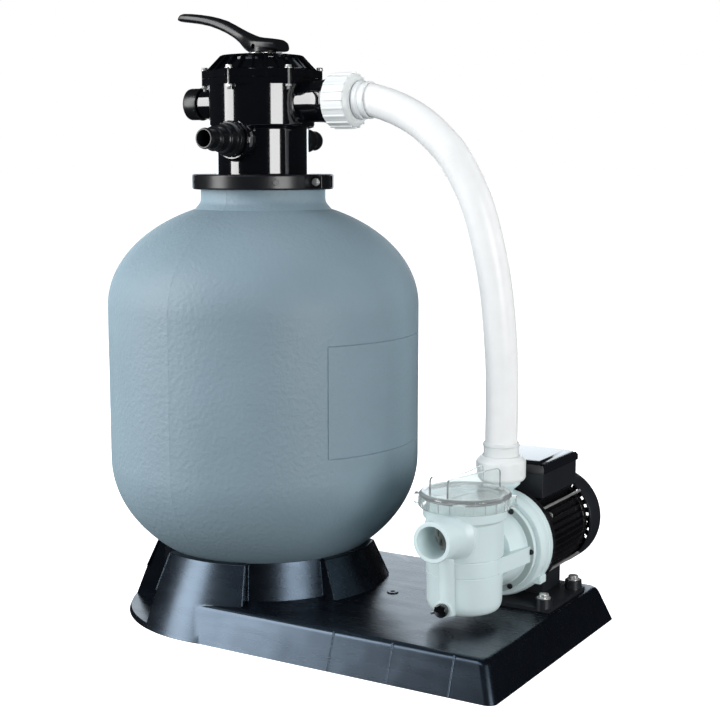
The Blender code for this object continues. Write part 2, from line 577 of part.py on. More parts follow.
def make_pot():
    wall = 5.0
    cup = [(0.0, POT_LOW + 6.0), (POT_R - wall, POT_LOW + 6.0), (POT_R - wall, POT_TOP), (59.0, POT_TOP),
           (59.0, POT_FLANGE_TOP), (62.0, POT_FLANGE_TOP), (62.0, POT_FLANGE_LOW), (POT_R, POT_FLANGE_LOW - 2.0),
           (POT_R, 155.0), (POT_R - 0.6, 131.0),
           (POT_R - 1.5, POT_LOW + 8.0), (POT_R - 5.5, POT_LOW + 2.0), (POT_R - 10.0, POT_LOW), (0.0, POT_LOW)]
    pot = turned(cup, (POT_X, POT_Y, 0.0), steps=28)
    port_at, hollow_at = (POT_X - 1.0, 0.0, PORT_Z), (POT_X, POT_Y, 0.0)
    join(pot, rod(PORT_R, 100.0, -PORT_FACE_Y, port_at, ALONG_MINUS_Y),
         rod(31.0, 95.0, 118.0, port_at, ALONG_MINUS_Y, tip=PORT_R),
         rod(14.0, POT_LOW + 2.0, 180.0, (POT_X - 1.0, POT_Y - 51.0, 0.0), steps=20))
    # the bowl runs on into the front cover of the volute
    cover = on_motor([(0.0, COVER_BACK), (72.0, COVER_BACK), (72.0, 26.0), (62.0, 23.0), (50.0, -12.0), (0.0, -12.0)])
    join(pot, cover)
    cut(pot, turned([(0.0, POT_TOP + 5.0), (POT_R - wall, POT_TOP + 5.0), (POT_R - wall, POT_LOW + 6.0),
                     (0.0, POT_LOW + 6.0)], hollow_at, steps=28))
    cut(pot, rod(PORT_BORE, 70.0, 165.0, port_at, ALONG_MINUS_Y),
        rod(18.0, -30.0, 40.0, (MOTOR_X, 0.0, MOTOR_Z), ALONG_Y, steps=24),
        rod(6.0 + GAP, 85.0, 130.0, (POT_X - 1.0, 0.0, 87.0), ALONG_MINUS_Y, steps=16))
    finish(pot, "strainer_pot", "grey")

    plug = turned([(0.0, 134.0), (8.5, 134.0), (9.5, 133.0), (9.5, 123.0 + GAP), (6.0, 123.0 + GAP), (6.0, 106.0),
                   (0.0, 106.0)], (POT_X - 1.0, 0.0, 87.0), ALONG_MINUS_Y, steps=20)
    join(plug, box((-16.0, -2.0, 126.0), (-4.0, 2.0, 132.0), (POT_X - 1.0, 0.0, 87.0), axis_turn(ALONG_MINUS_Y, 20)))
    finish(plug, "drain_plug", "black")


def make_strainer():
    at = (POT_X, POT_Y, 0.0)
    basket = turned([(0.0, 90.0), (44.0, 90.0), (49.0, 236.0), (51.5, 236.0), (51.5, 233.0), (50.5, 233.0),
                     (46.0, 88.0), (0.0, 88.0)], at, steps=20)
    slots = ring_of(lambda a: box((30.0, -6.0, 100.0), (60.0, 6.0, 150.0), at, (0, 0, a)), 6)
    cut(basket, *slots)
    inlet = rod(PORT_BORE, 70.0, 125.0, (POT_X - 1.0, 0.0, PORT_Z), ALONG_MINUS_Y, steps=24)
    finish(cut(basket, inlet), "strainer_basket", "white")
    finish(round_ring(56.0, 1.5, 242.0, at), "lid_gasket", "rubber")
    skirt = [(0.0, 248.0), (55.0, 248.0), (60.0, 250.0), (66.0, 250.0), (68.0, 248.0), (68.0, 227.3), (60.0, 227.3),
             (60.0, 243.8), (0.0, 243.8)]
    lid = turned(skirt, at, steps=24)
    lugs = ring_of(lambda a: box((65.0, -9.0, 229.0), (76.0, 9.0, 245.0), at, (0, 0, a)), 4, 20.0)
    join(lid, *lugs)
    for side in (-1.0, 1.0):
        wall = [(-52.0, 17.0), (-25.0, 10.0), (0.0, 7.5), (25.0, 10.0), (52.0, 17.0),
                (52.0, 14.0), (25.0, 7.0), (0.0, 4.5), (-25.0, 7.0), (-52.0, 14.0)]
        outline = [(x, side * y) for x, y in (wall if side > 0 else wall[::-1])]
        join(lid, prism(outline, 246.0, 278.0, at, (0, 0, 74.0)))
    finish(lid, "strainer_lid", "clear")


def make_volute():
    casing = on_motor([(CASING_R, CASING_BACK), (CASING_R, 44.0), (80.0, COVER_BACK + GAP), (60.0, COVER_BACK + GAP),
                       (60.0, 60.0), (14.5, 60.0), (14.5, 66.5), (8.5, 66.5), (8.5, CASING_BACK)])
    top = (DISCHARGE_X, DISCHARGE_Y, 0.0)
    join(casing, rod(17.5, 205.0, 232.0, top), rod(17.5, 228.5, 240.0, top, tip=30.0),
         rod(30.0, 239.5, 262.0, top, steps=20))
    cut(casing, rod(11.0, 195.0, 245.0, (DISCHARGE_X, 48.0, 0.0), steps=16), rod(20.0, 243.0, 270.0, top))
    finish(casing, "volute_casing", "grey")
    back = on_motor([(0.0, 56.0), (52.0, 56.0), (52.0, 53.0), (12.0, 50.0), (12.0, 40.0), (0.0, 38.5)], 20)
    vanes = ring_of(lambda a: box((10.0, -1.5, 42.0), (51.0, 1.5, 54.0), (MOTOR_X, 0.0, MOTOR_Z),
                                  axis_turn(ALONG_Y, a)), 6)
    join(back, *vanes)
    cut(back, rod(SHAFT_R + GAP, 44.0, 60.0, (MOTOR_X, 0.0, MOTOR_Z), ALONG_Y, steps=20))
    finish(back, "impeller", "black")
    seal = [(13.5, 66.0), (13.5, 60.0), (11.0, 57.0), (SHAFT_R + GAP, 57.0), (SHAFT_R + GAP, 66.0)]
    finish(on_motor(seal, 24), "mechanical_seal", "rubber")


# ---------------------------------------------------------------- motor


def fin_outline(count, root, tip, half_width):
    """The frame's outline across the motor, with count cooling fins."""
    points = []
    for i in range(count):
        middle = 360.0 * i / count
        foot, end = math.degrees(half_width / root), math.degrees(half_width / tip)
        for radius, angle in ((root, middle - foot), (tip, middle - end), (tip, middle + end), (root, middle + foot)):
            points.append((radius * math.cos(math.radians(angle)), radius * math.sin(math.radians(angle))))
    return points


def make_motor():
    flange = on_motor([(80.0, FRAME_FRONT - GAP), (80.0, CASING_BACK + GAP), (8.5, CASING_BACK + GAP), (8.5, 76.0),
                       (16.3, 76.0), (16.3, FRAME_FRONT - GAP)])
    finish(flange, "motor_front_flange", "black")
    frame = prism(fin_outline(20, FRAME_R, FIN_R, 1.4), FRAME_FRONT, FRAME_BACK, (MOTOR_X, 0.0, MOTOR_Z), ALONG_Y)
    hollow = on_motor([(0.0, 225.0), (58.0, 225.0), (58.0, 80.0), (0.0, 80.0)], 28)
    seat = on_motor([(0.0, 236.0), (16.3, 236.0), (16.3, 215.0), (0.0, 215.0)], 24)
    table = box((BOX_X[0] - 2.0, BOX_Y[0] - 2.0, BOX_Z[0] - GAP), (BOX_X[1] + 2.0, BOX_Y[1] + 2.0, 260.0))
    cut(frame, hollow, seat, on_motor([(0.0, 245.0), (8.5, 245.0), (8.5, 200.0), (0.0, 200.0)], 20), table)
    finish(frame, "motor_frame", "black")
    finish(on_motor([(57.7, 205.0), (57.7, 105.0), (36.0, 105.0), (36.0, 205.0)], 28), "motor_stator", "copper")
    rotor = [(0.0, 272.0), (SHAFT_R, 272.0), (SHAFT_R, 206.0), (35.0, 200.0), (35.0, 110.0), (SHAFT_R, 104.0),
             (SHAFT_R, 46.0), (0.0, 46.0)]
    finish(on_motor(rotor, 24), "motor_rotor", "steel")
    for name, low, high in (("front_bearing", 77.0, 88.0), ("rear_bearing", 225.0, 235.5)):
        race = [(16.0, high), (16.0, low), (SHAFT_R + GAP, low), (SHAFT_R + GAP, high)]
        finish(on_motor(race, 16), name, "steel")
    fan = on_motor([(14.0, 262.0), (14.0, 248.0), (62.0, 246.0), (62.0, 244.0), (SHAFT_R + GAP, 244.0),
                    (SHAFT_R + GAP, 262.0)], 20)
    blades = ring_of(lambda a: box((12.0, -1.2, 245.0), (61.0, 1.2, 268.0), (MOTOR_X, 0.0, MOTOR_Z),
                                   axis_turn(ALONG_Y, a)), 6)
    finish(join(fan, *blades), "motor_fan", "black")
    cover = on_motor([(0.0, 290.0), (68.0, 290.0), (75.0, 286.0), (79.0, 278.0), (79.0, 234.5), (77.0, 234.5),
                      (77.0, 277.0), (73.5, 284.0), (67.0, 287.8), (0.0, 287.8)], 20)
    slots = ring_of(lambda a: box((18.0, -3.5, 284.0), (60.0, 3.5, 294.0), (MOTOR_X, 0.0, MOTOR_Z),
                                  axis_turn(ALONG_Y, a)), 8)
    finish(cut(cover, *slots), "fan_cover", "black")
    make_terminal_box()
    make_foot()


def make_terminal_box():
    (x0, x1), (y0, y1), (z0, z1) = BOX_X, BOX_Y, BOX_Z
    shell = box((x0, y0, z0), (x1, y1, z1))
    gland_at = (x0, 196.0, 231.0)
    cut(shell, box((x0 + 2.5, y0 + 2.5, z0 + 2.5), (x1 - 2.5, y1 - 2.5, z1 + 5.0)),
        rod(6.0 + GAP, -10.0, 10.0, gland_at, ALONG_X, steps=16))
    finish(shell, "terminal_box", "black")
    lid = box((x0 - 2.0, y0 - 2.0, z1 + GAP), (x1 + 2.0, y1 + 2.0, 268.0), bevel=3.0)
    finish(lid, "terminal_lid", "black")
    can = rod(16.0, y0 + 14.0, y1 - 24.0, ((x0 + x1) / 2 - 20.0, 0.0, z0 + 19.5), ALONG_Y, steps=24)
    finish(can, "capacitor", "white")
    gland = [(4.0, 18.0), (7.0, 18.0), (9.0, 14.0), (9.0, GAP), (6.0, GAP), (6.0, -6.0), (4.0, -6.0)]
    finish(turned(gland, gland_at, ALONG_MINUS_X, steps=16), "cable_gland", "black")


def make_foot():
    # the saddle follows the fins and is hollow in the middle
    saddle = box((342.0, 96.0, FOOT_TOP - 3.0), (454.0, 164.0, 108.0))
    cut(saddle, rod(FIN_R + 3 * GAP, 80.0, 180.0, (MOTOR_X, 0.0, MOTOR_Z), ALONG_Y, steps=AROUND),
        box((364.0, 108.0, 50.0), (432.0, 152.0, 120.0)))
    foot = join(box((300.0, 26.0, DECK_Z + GAP), (496.0, 166.0, FOOT_TOP)), saddle)
    for x, y in FOOT_BOLTS:
        join(foot, rod(14.0, DECK_Z + 2.0, BOSS_TOP, (x, y, 0.0), steps=12, tip=13.0))
    for x, y in FOOT_BOLTS:
        cut(foot, rod(4.0 + GAP, 50.0, 80.0, (x, y, 0.0), steps=8))
    finish(foot, "motor_foot", "black")


def centre_on_floor():
    """Moves the design so that the middle of its box stands over the origin."""
    back = 290.0
    ROOT.location = Vector((-(BASE_RIGHT - TANK_R) / 2, -(back - TANK_R) / 2, 0.0)) * MM


centre_on_floor()
make_base()
make_tank()
make_clamp()
make_inner_pipework()
make_valve_body()
make_valve_lid()
make_valve_inside()
make_handle()
make_valve_fittings()
make_hose()
make_pot()
make_strainer()
make_volute()
make_motor()
bpy.context.view_layer.update()
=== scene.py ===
"""Looks for the sand filter set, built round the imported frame. Shapes are in millimetres, in a frame whose
origin is on the tank's axis at floor level, +X towards the pump and +Y to the back. solid() moves them into
the row's frame."""

import math

import bmesh
import bpy
from mathutils import Euler, Matrix, Vector


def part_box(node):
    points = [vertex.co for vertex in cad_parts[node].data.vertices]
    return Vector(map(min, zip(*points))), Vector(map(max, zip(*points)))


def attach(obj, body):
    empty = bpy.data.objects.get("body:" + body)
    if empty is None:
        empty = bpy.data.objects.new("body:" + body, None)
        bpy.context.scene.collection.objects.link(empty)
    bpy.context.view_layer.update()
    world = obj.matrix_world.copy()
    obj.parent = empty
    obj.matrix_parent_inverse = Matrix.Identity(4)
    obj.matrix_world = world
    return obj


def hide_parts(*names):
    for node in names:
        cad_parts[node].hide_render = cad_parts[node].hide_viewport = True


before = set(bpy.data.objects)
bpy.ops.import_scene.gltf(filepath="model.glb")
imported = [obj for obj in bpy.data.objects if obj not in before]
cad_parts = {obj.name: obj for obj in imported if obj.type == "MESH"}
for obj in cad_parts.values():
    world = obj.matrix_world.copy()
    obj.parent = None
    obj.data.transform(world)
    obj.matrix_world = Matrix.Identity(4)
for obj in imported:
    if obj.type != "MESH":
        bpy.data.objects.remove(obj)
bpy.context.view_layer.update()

tank_low, tank_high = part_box("tank_shell")
AXIS = Vector(((tank_low.x + tank_high.x) / 2, (tank_low.y + tank_high.y) / 2, 0.0))
MM = 0.001
TO_ROW = Matrix.Translation(AXIS) @ Matrix.Scale(MM, 4)
GAP = 0.3
SCENE = bpy.context.scene

# ---- camera, light and floor

CAMERA_AT, CAMERA_YAW, CAMERA_PITCH, CAMERA_LENS = (1317.2, -1883.7, 726.4), 31.1, 7.91, 71.14


def make_camera():
    data = bpy.data.cameras.new("camera")
    data.lens, data.sensor_width = CAMERA_LENS, 36.0
    camera = bpy.data.objects.new("camera", data)
    SCENE.collection.objects.link(camera)
    yaw, pitch = math.radians(CAMERA_YAW), math.radians(CAMERA_PITCH)
    forward = Vector((-math.sin(yaw) * math.cos(pitch), math.cos(yaw) * math.cos(pitch), -math.sin(pitch)))
    camera.location = TO_ROW @ Vector(CAMERA_AT)
    camera.rotation_mode = "QUATERNION"
    camera.rotation_quaternion = forward.to_track_quat("-Z", "Y")
    SCENE.camera = camera


def soft_box(name, at, towards, size, power, colour=(1.0, 1.0, 1.0), reflected=True):
    light = bpy.data.lights.new(name, "AREA")
    light.shape, light.size, light.size_y = "RECTANGLE", size[0], size[1]
    light.energy, light.color = power, colour
    lamp = bpy.data.objects.new(name, light)
    SCENE.collection.objects.link(lamp)
    lamp.location = at
    lamp.rotation_mode = "QUATERNION"
    lamp.rotation_quaternion = (Vector(towards) - Vector(at)).to_track_quat("-Z", "Y")
    lamp.visible_glossy = reflected


# the strength of the world's light on the object, in its gloss, and seen through the clear lid
AMBIENT, DARK_ROOM, THROUGH_CLEAR = 0.26, 0.018, 0.62
FLOOR_HALF, FLOOR_BELOW, FLOOR_GLOW = 60.0, 0.0006, 0.97


def wire(tree, *joins):
    """Links each (output, input) pair of sockets."""
    for output, entry in joins:
        tree.links.new(output, entry)


def set_inputs(node, **values):
    """Sets sockets by name, with _ for a space."""
    for name, value in values.items():
        node.inputs[name.replace("_", " ")].default_value = value
    return node


def make_world():
    """A pale room that the camera sees, and a dark one that the gloss sees."""
    world = bpy.data.worlds.new("studio")
    SCENE.world = world
    world.use_nodes = True
    nodes = world.node_tree.nodes
    path = nodes.new("ShaderNodeLightPath").outputs
    ambient = set_inputs(nodes["Background"], Color=(0.92, 0.96, 1.0, 1.0), Strength=AMBIENT)
    dark = set_inputs(nodes.new("ShaderNodeBackground"), Strength=DARK_ROOM)
    bright = set_inputs(nodes.new("ShaderNodeBackground"), Color=(1.0, 1.0, 1.0, 1.0))
    seen = nodes.new("ShaderNodeMath")
    seen.operation, seen.use_clamp = "MULTIPLY_ADD", True
    seen.inputs[1].default_value = THROUGH_CLEAR
    inner, outer = nodes.new("ShaderNodeMixShader"), nodes.new("ShaderNodeMixShader")
    wire(world.node_tree, (path["Is Transmission Ray"], seen.inputs[0]),
         (path["Is Camera Ray"], seen.inputs[2]), (path["Is Glossy Ray"], inner.inputs[0]),
         (ambient.outputs[0], inner.inputs[1]), (dark.outputs[0], inner.inputs[2]),
         (seen.outputs[0], outer.inputs[0]), (inner.outputs[0], outer.inputs[1]),
         (bright.outputs[0], outer.inputs[2]), (outer.outputs[0], nodes["World Output"].inputs["Surface"]))


def make_studio():
    make_world()
    soft_box("key_left", (-2.07, -2.32, 1.45), (-0.14, 0.0, 0.7), (1.3, 2.9), 98.0)
    soft_box("key_right", (2.58, -1.29, 0.55), (-0.14, 0.0, 0.5), (1.35, 1.1), 44.0)
    soft_box("high_front", (-0.2, -2.6, 2.7), (0.0, 0.0, 0.1), (2.0, 0.8), 18.0, (0.8, 0.9, 1.0))
    soft_box("top", (0.1, -0.1, 2.9), (0.1, 0.0, 0.4), (1.6, 1.4), 15.0, reflected=False)
    soft_box("backdrop", (-1.69, 2.55, 0.8), (0.0, 0.0, 0.5), (3.4, 1.5), 32.0, (0.86, 0.94, 1.0))
    soft_box("fill_left", (-3.0, -0.6, 0.6), (-0.14, 0.0, 0.5), (1.5, 1.8), 80.0, reflected=False)
    soft_box("fill_right", (2.54, 1.5, 1.0), (-0.14, 0.0, 0.5), (1.5, 1.8), 27.0, reflected=False)
    bm = bmesh.new()
    bmesh.ops.create_grid(bm, x_segments=1, y_segments=1, size=FLOOR_HALF)
    floor = added("floor", bm)
    floor.location.z = -FLOOR_BELOW
    floor.visible_glossy = floor.visible_diffuse = False
    paper = material("floor_paper", (0.85, 0.85, 0.85), 0.8, 0.01, 60.0, 0.02, specular=0.0)
    set_inputs(paper.node_tree.nodes["Principled BSDF"], Emission_Color=(1.0, 1.0, 1.0, 1.0),
               Emission_Strength=FLOOR_GLOW)
    floor.data.materials.append(paper)
    SCENE.view_settings.view_transform = "Standard"


# ---- materials


def material(name, colour, rough, mottle, grain, depth, metallic=0.0, rough_spread=0.08, mottle_scale=14.0,
             coat=0.0, specular=0.5, tint=(1.0, 1.0, 1.0), transmission=0.0, ior=1.5, streak=(1.0, 1.0, 1.0),
             wave=None):
    """A procedural finish. mottle is how far its colour varies, and grain (per metre) and depth (mm) are its
    moulded or brushed texture. streak stretches the grain, and wave adds slow unevenness as (scale, mm)."""
    made = bpy.data.materials.new(name)
    made.use_nodes = True
    nodes = made.node_tree.nodes
    shader = set_inputs(nodes["Principled BSDF"], Metallic=metallic, Coat_Weight=coat, Coat_Roughness=0.05,
                        Specular_IOR_Level=specular, Specular_Tint=(*tint, 1.0),
                        Transmission_Weight=transmission, IOR=ior).inputs
    places = nodes.new("ShaderNodeTexCoord").outputs["Object"]
    stretch = set_inputs(nodes.new("ShaderNodeMapping"), Scale=streak)
    along = stretch.outputs["Vector"]

    def noise(scale, detail, vector):
        texture = set_inputs(nodes.new("ShaderNodeTexNoise"), Scale=scale, Detail=detail)
        wire(made.node_tree, (vector, texture.inputs["Vector"]))
        return texture.outputs["Fac"]

    def bump(height, strength, distance):
        node = set_inputs(nodes.new("ShaderNodeBump"), Strength=strength, Distance=distance * MM)
        wire(made.node_tree, (height, node.inputs["Height"]))
        return node

    shades = nodes.new("ShaderNodeValToRGB")
    for stop, at, factor in zip(shades.color_ramp.elements, (0.3, 0.7), (1 - mottle, 1 + mottle)):
        stop.position, stop.color = at, (*[min(1.0, c * factor) for c in colour], 1.0)
    uneven = set_inputs(nodes.new("ShaderNodeMapRange"), To_Min=max(0.02, rough - rough_spread),
                        To_Max=rough + rough_spread)
    last = bump(noise(grain, 2.0, along), min(1.0, depth * 4), depth)
    if wave:
        fine, last = last, bump(noise(wave[0], 1.0, places), 0.6, wave[1])
        wire(made.node_tree, (fine.outputs["Normal"], last.inputs["Normal"]))
    wire(made.node_tree, (places, stretch.inputs["Vector"]),
         (noise(mottle_scale, 3.0, places), shades.inputs["Fac"]),
         (noise(mottle_scale * 4, 4.0, along), uneven.inputs["Value"]),
         (shades.outputs["Color"], shader["Base Color"]), (uneven.outputs["Result"], shader["Roughness"]),
         (last.outputs["Normal"], shader["Normal"]))
    return made


# each look: the material's name, colour, roughness, mottle, grain and depth
LOOKS = {
    "tank": material("tank_moulding", (0.2, 0.277, 0.324), 0.52, 0.05, 150.0, 0.95, mottle_scale=5.0,
        wave=(9.0, 1.0)),
    "base": material("base_moulding", (0.0022, 0.003, 0.005), 0.27, 0.25, 260.0, 0.06, rough_spread=0.07,
        specular=1.0, tint=(0.58, 0.77, 1.0), streak=(0.15, 1.0, 1.0), wave=(16.0, 1.2)),
    "valve": material("valve_plastic", (0.0025, 0.003, 0.0045), 0.1, 0.15, 700.0, 0.01, rough_spread=0.03,
        coat=1.0, wave=(20.0, 0.25)),
    "fitting": material("fitting_plastic", (0.006, 0.0065, 0.008), 0.3, 0.15, 700.0, 0.02, rough_spread=0.05),
    "white": material("white_plastic", (0.76, 0.785, 0.78), 0.3, 0.02, 600.0, 0.03, rough_spread=0.06),
    "hose": material("hose_pvc", (0.85, 0.855, 0.85), 0.36, 0.025, 500.0, 0.05, rough_spread=0.06,
        mottle_scale=30.0),
    "grey": material("pump_plastic", (0.6, 0.71, 0.72), 0.34, 0.03, 520.0, 0.06, rough_spread=0.06),
    # a darker copy of the pump plastic: painted shade for the step under the cover's flange
    "painted_shade": material("pump_plastic_painted_shade", (0.36, 0.43, 0.43), 0.4, 0.04, 520.0, 0.08),
    "clear": material("clear_lid", (0.84, 0.885, 0.885), 0.03, 0.01, 300.0, 0.006, rough_spread=0.01,
        transmission=0.88, ior=1.46),
    "motor": material("motor_paint", (0.009, 0.009, 0.011), 0.26, 0.2, 900.0, 0.06),
    "motor_plastic": material("motor_plastic", (0.014, 0.016, 0.02), 0.34, 0.12, 800.0, 0.05),
    "inner": material("inner_plastic", (0.78, 0.8, 0.78), 0.4, 0.04, 500.0, 0.05),
    "steel": material("zinc_steel", (0.8, 0.8, 0.78), 0.34, 0.08, 1500.0, 0.02, metallic=0.8,
        mottle_scale=120.0, streak=(1.0, 1.0, 0.15)),
    "gloss": material("lid_plastic", (0.006, 0.007, 0.009), 0.13, 0.12, 800.0, 0.015, rough_spread=0.04,
        coat=0.6),
    "dark_steel": material("blackened_steel", (0.035, 0.035, 0.04), 0.35, 0.2, 1500.0, 0.02, metallic=1.0,
        mottle_scale=80.0),
    "seal": material("lid_seal", (0.03, 0.032, 0.035), 0.5, 0.15, 900.0, 0.05),
    "rubber": material("seal_rubber", (0.018, 0.018, 0.018), 0.65, 0.15, 900.0, 0.08),
    "winding": material("motor_winding", (0.36, 0.16, 0.06), 0.42, 0.25, 900.0, 0.4, metallic=0.7,
        mottle_scale=200.0, streak=(1.0, 0.05, 1.0)),
}

# ---- shapes

TURNS = {"+Z": (0, 0, 0), "-Z": (180, 0, 0), "+X": (0, 90, 0), "-X": (0, -90, 0), "+Y": (-90, 0, 0),
         "-Y": (90, 0, 0)}


def turned(degrees, axis="Z"):
    return Matrix.Rotation(math.radians(degrees), 4, axis)


def place(at=(0, 0, 0), axis="+Z", spin=0.0):
    """A matrix that lays a shape's own +Z along axis, after a spin about it."""
    turn = Euler([math.radians(a) for a in TURNS[axis]]).to_matrix().to_4x4()
    return Matrix.Translation(at) @ turn @ turned(spin)


def radial(angle, z=0.0):
    """A matrix that lays a shape's own +Z outwards from the tank's axis."""
    return turned(angle) @ place((0, 0, z), "+X")


def polar(radius, degrees):
    return radius * math.cos(math.radians(degrees)), radius * math.sin(math.radians(degrees))


def soft(profile, radius=1.0, steps=3):
    """Rounds the corners of a profile. A point may carry its own radius as a third number."""
    ring = profile[0][0] > 0
    count, rounded = len(profile), []
    for i, point in enumerate(profile):
        here = Vector(point[:2])
        back, on = Vector(profile[i - 1][:2]) - here, Vector(profile[(i + 1) % count][:2]) - here
        end = not ring and i in (0, count - 1)
        if end or min(back.length, on.length) < 1e-6 or back.angle(on) > math.radians(166):
            rounded.append((here.x, here.y))
            continue
        reach = min(point[2] if len(point) > 2 else radius, back.length * 0.45, on.length * 0.45)
        a, b = here + back.normalized() * reach, here + on.normalized() * reach
        for k in range(steps + 1):
            t = k / steps
            p = a * (1 - t) ** 2 + here * 2 * t * (1 - t) + b * t * t
            rounded.append((p.x, p.y))
    return rounded


def lathe(profile, where=None, segs=96, angles=None, shape=None):
    """Revolves (radius, height) points about +Z. shape(angle, radius, height) may add to the radius."""
    bm = bmesh.new()
    angles = angles or [2 * math.pi * i / segs for i in range(segs)]
    rows = []
    for r, z in profile:
        if r < 1e-6:
            rows.append([bm.verts.new((0.0, 0.0, z))])
            continue
        row = []
        for a in angles:
            wide = r + (shape(a, r, z) if shape else 0.0)
            row.append(bm.verts.new((wide * math.cos(a), wide * math.sin(a), z)))
        rows.append(row)
    pairs = list(zip(rows, rows[1:]))
    if profile[0][0] > 1e-6:
        pairs.append((rows[-1], rows[0]))
    for a, b in pairs:
        for i in range(max(len(a), len(b))):
            j = (i + 1) % max(len(a), len(b))
            if len(a) == 1 and len(b) > 1:
                bm.faces.new((a[0], b[j], b[i]))
            elif len(b) == 1 and len(a) > 1:
                bm.faces.new((a[i], a[j], b[0]))
            elif len(a) > 1:
                bm.faces.new((a[i], a[j], b[j], b[i]))
    if where:
        bm.transform(where)
    bmesh.ops.recalc_face_normals(bm, faces=bm.faces)
    return bm


def rod(radius, low, high, where=None, segs=48, tip=None, edge=0.0):
    """A round bar, or a cone where tip is given, with its edges rounded by edge."""
    top = radius if tip is None else tip
    profile = [(0.0, high), (top, high), (radius, low), (0.0, low)]
    return lathe(soft(profile, edge) if edge else profile, where, segs)


def box(low, high, where=None, edge=0.0, segs=3):
    bm = bmesh.new()
    bmesh.ops.create_cube(bm, size=1.0)
    size = Vector([b - a for a, b in zip(low, high)])
    bmesh.ops.scale(bm, vec=size, verts=bm.verts)
    bmesh.ops.translate(bm, vec=(Vector(low) + Vector(high)) / 2, verts=bm.verts)
    if edge:
        bmesh.ops.bevel(bm, geom=bm.edges, offset=edge, segments=segs, profile=0.5, affect="EDGES")
    if where:
        bm.transform(where)
    return bm


def loft(rings, where=None):
    """A closed skin through rings of equal length."""
    bm = bmesh.new()
    loops = [[bm.verts.new(p) for p in ring] for ring in rings]
    for a, b in zip(loops, loops[1:]):
        for i in range(len(a)):
            j = (i + 1) % len(a)
            bm.faces.new((a[i], a[j], b[j], b[i]))
    bm.faces.new(loops[0])
    bm.faces.new(loops[-1])
    if where:
        bm.transform(where)
    bmesh.ops.recalc_face_normals(bm, faces=bm.faces)
    return bm


def prism(outline, low, high, where=None):
    return loft([[(x, y, z) for x, y in outline] for z in (low, high)], where)


def arc(radius, start, end, steps, centre=(0.0, 0.0), rise=None):
    """Points along a circle, or along an ellipse that is rise high."""
    angles = [math.radians(start + (end - start) * i / steps) for i in range(steps + 1)]
    rise = radius if rise is None else rise
    return [(centre[0] + radius * math.cos(a), centre[1] + rise * math.sin(a)) for a in angles]


def merge(*shapes):
    """Several shapes in one mesh, not united."""
    whole = bmesh.new()
    for shape in shapes:
        mesh = bpy.data.meshes.new("merge")
        shape.to_mesh(mesh)
        shape.free()
        whole.from_mesh(mesh)
        bpy.data.meshes.remove(mesh)
    return whole


def added(name, bm):
    """A new object that holds a bmesh's shape. The bmesh is freed."""
    mesh = bpy.data.meshes.new(name)
    bm.to_mesh(mesh)
    bm.free()
    made = bpy.data.objects.new(name, mesh)
    SCENE.collection.objects.link(made)
    return made


def settle(main, others=()):
    """The helper's mesh with its modifiers applied, as a bmesh. Every helper is removed."""
    graph = bpy.context.evaluated_depsgraph_get()
    graph.update()
    mesh = bpy.data.meshes.new_from_object(main.evaluated_get(graph))
    bm = bmesh.new()
    bm.from_mesh(mesh)
    bpy.data.meshes.remove(mesh)
    for done in (main, *others):
        data = done.data
        bpy.data.objects.remove(done, do_unlink=True)
        bpy.data.meshes.remove(data)
    return bm


def carve(target, operation, *tools):
    main, others = added("helper", target), [added("helper", tool) for tool in tools]
    for other in others:
        step = main.modifiers.new("carve", "BOOLEAN")
        step.operation, step.solver, step.object = operation, "EXACT", other
    return settle(main, others)


def cut(target, *tools):
    return carve(target, "DIFFERENCE", *tools)


def unite(target, *tools):
    return carve(target, "UNION", *tools)


def ease(bm, width, angle=32.0, segs=2):
    """Rounds every edge sharper than angle."""
    main = added("helper", bm)
    step = main.modifiers.new("ease", "BEVEL")
    step.width, step.segments, step.limit_method = width, segs, "ANGLE"
    step.angle_limit = math.radians(angle)
    return settle(main)


def ring_of_boxes(count, low, high, where, edge=0.0, segs=3, start=0.0):
    """Equal boxes spaced evenly about the +Z of where."""
    return [box(low, high, where @ turned(start + 360.0 * i / count), edge, segs) for i in range(count)]


def solid(name, bm, look, *replaced, body="static", slot=None, angle=40.0, weighted=False):
    """The finished piece, in the row's frame, riding on its body. slot is not used."""
    bmesh.ops.remove_doubles(bm, verts=bm.verts, dist=1e-4)
    bm.transform(TO_ROW)
    bmesh.ops.recalc_face_normals(bm, faces=bm.faces)
    made = added(name, bm)
    made.data.materials.append(LOOKS[look])
    made.data.shade_smooth()
    made.data.set_sharp_from_angle(angle=math.radians(angle))
    if weighted:
        made.modifiers.new("normals", "WEIGHTED_NORMAL").keep_sharp = True
    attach(made, body)
    if replaced:
        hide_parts(*replaced)


def hex_bolt(where, shank, length, head, head_high, washer, washer_high=1.2, nut_at=None):
    """A hexagon bolt with a chamfered head, a washer, and a threaded shank along its own -Z."""
    disc = [(0.0, washer_high), (washer, washer_high), (washer, 0.0), (0.0, 0.0)]
    shapes = [lathe(soft(disc, 0.3), where, 32), hex_head(where, head, washer_high, washer_high + head_high)]
    thread = [(0.0, 0.2), (shank, 0.2)]
    teeth = int(length / 1.1)
    for i in range(teeth):
        z = -length * i / teeth
        thread += [(shank, z), (shank - 0.35, z - length / teeth / 2)]
    shapes.append(lathe(thread + [(shank - 0.6, -length), (0.0, -length)], where, 20))
    if nut_at:
        shapes.append(hex_head(where, head, *nut_at))
    return merge(*shapes)


def hex_head(where, across, low, high):
    """A hexagon with the chamfer that a turned blank leaves on its corners."""
    outline = [polar(across, 60 * i) for i in range(6)]
    blank = [(0.0, high), (across * 0.84, high), (across, high - across * 0.12), (across, low + 0.2),
             (across * 0.94, low), (0.0, low)]
    return ease(carve(prism(outline, low, high, where), "INTERSECT", lathe(blank, where, 36)), 0.12, segs=1)


# ---- base

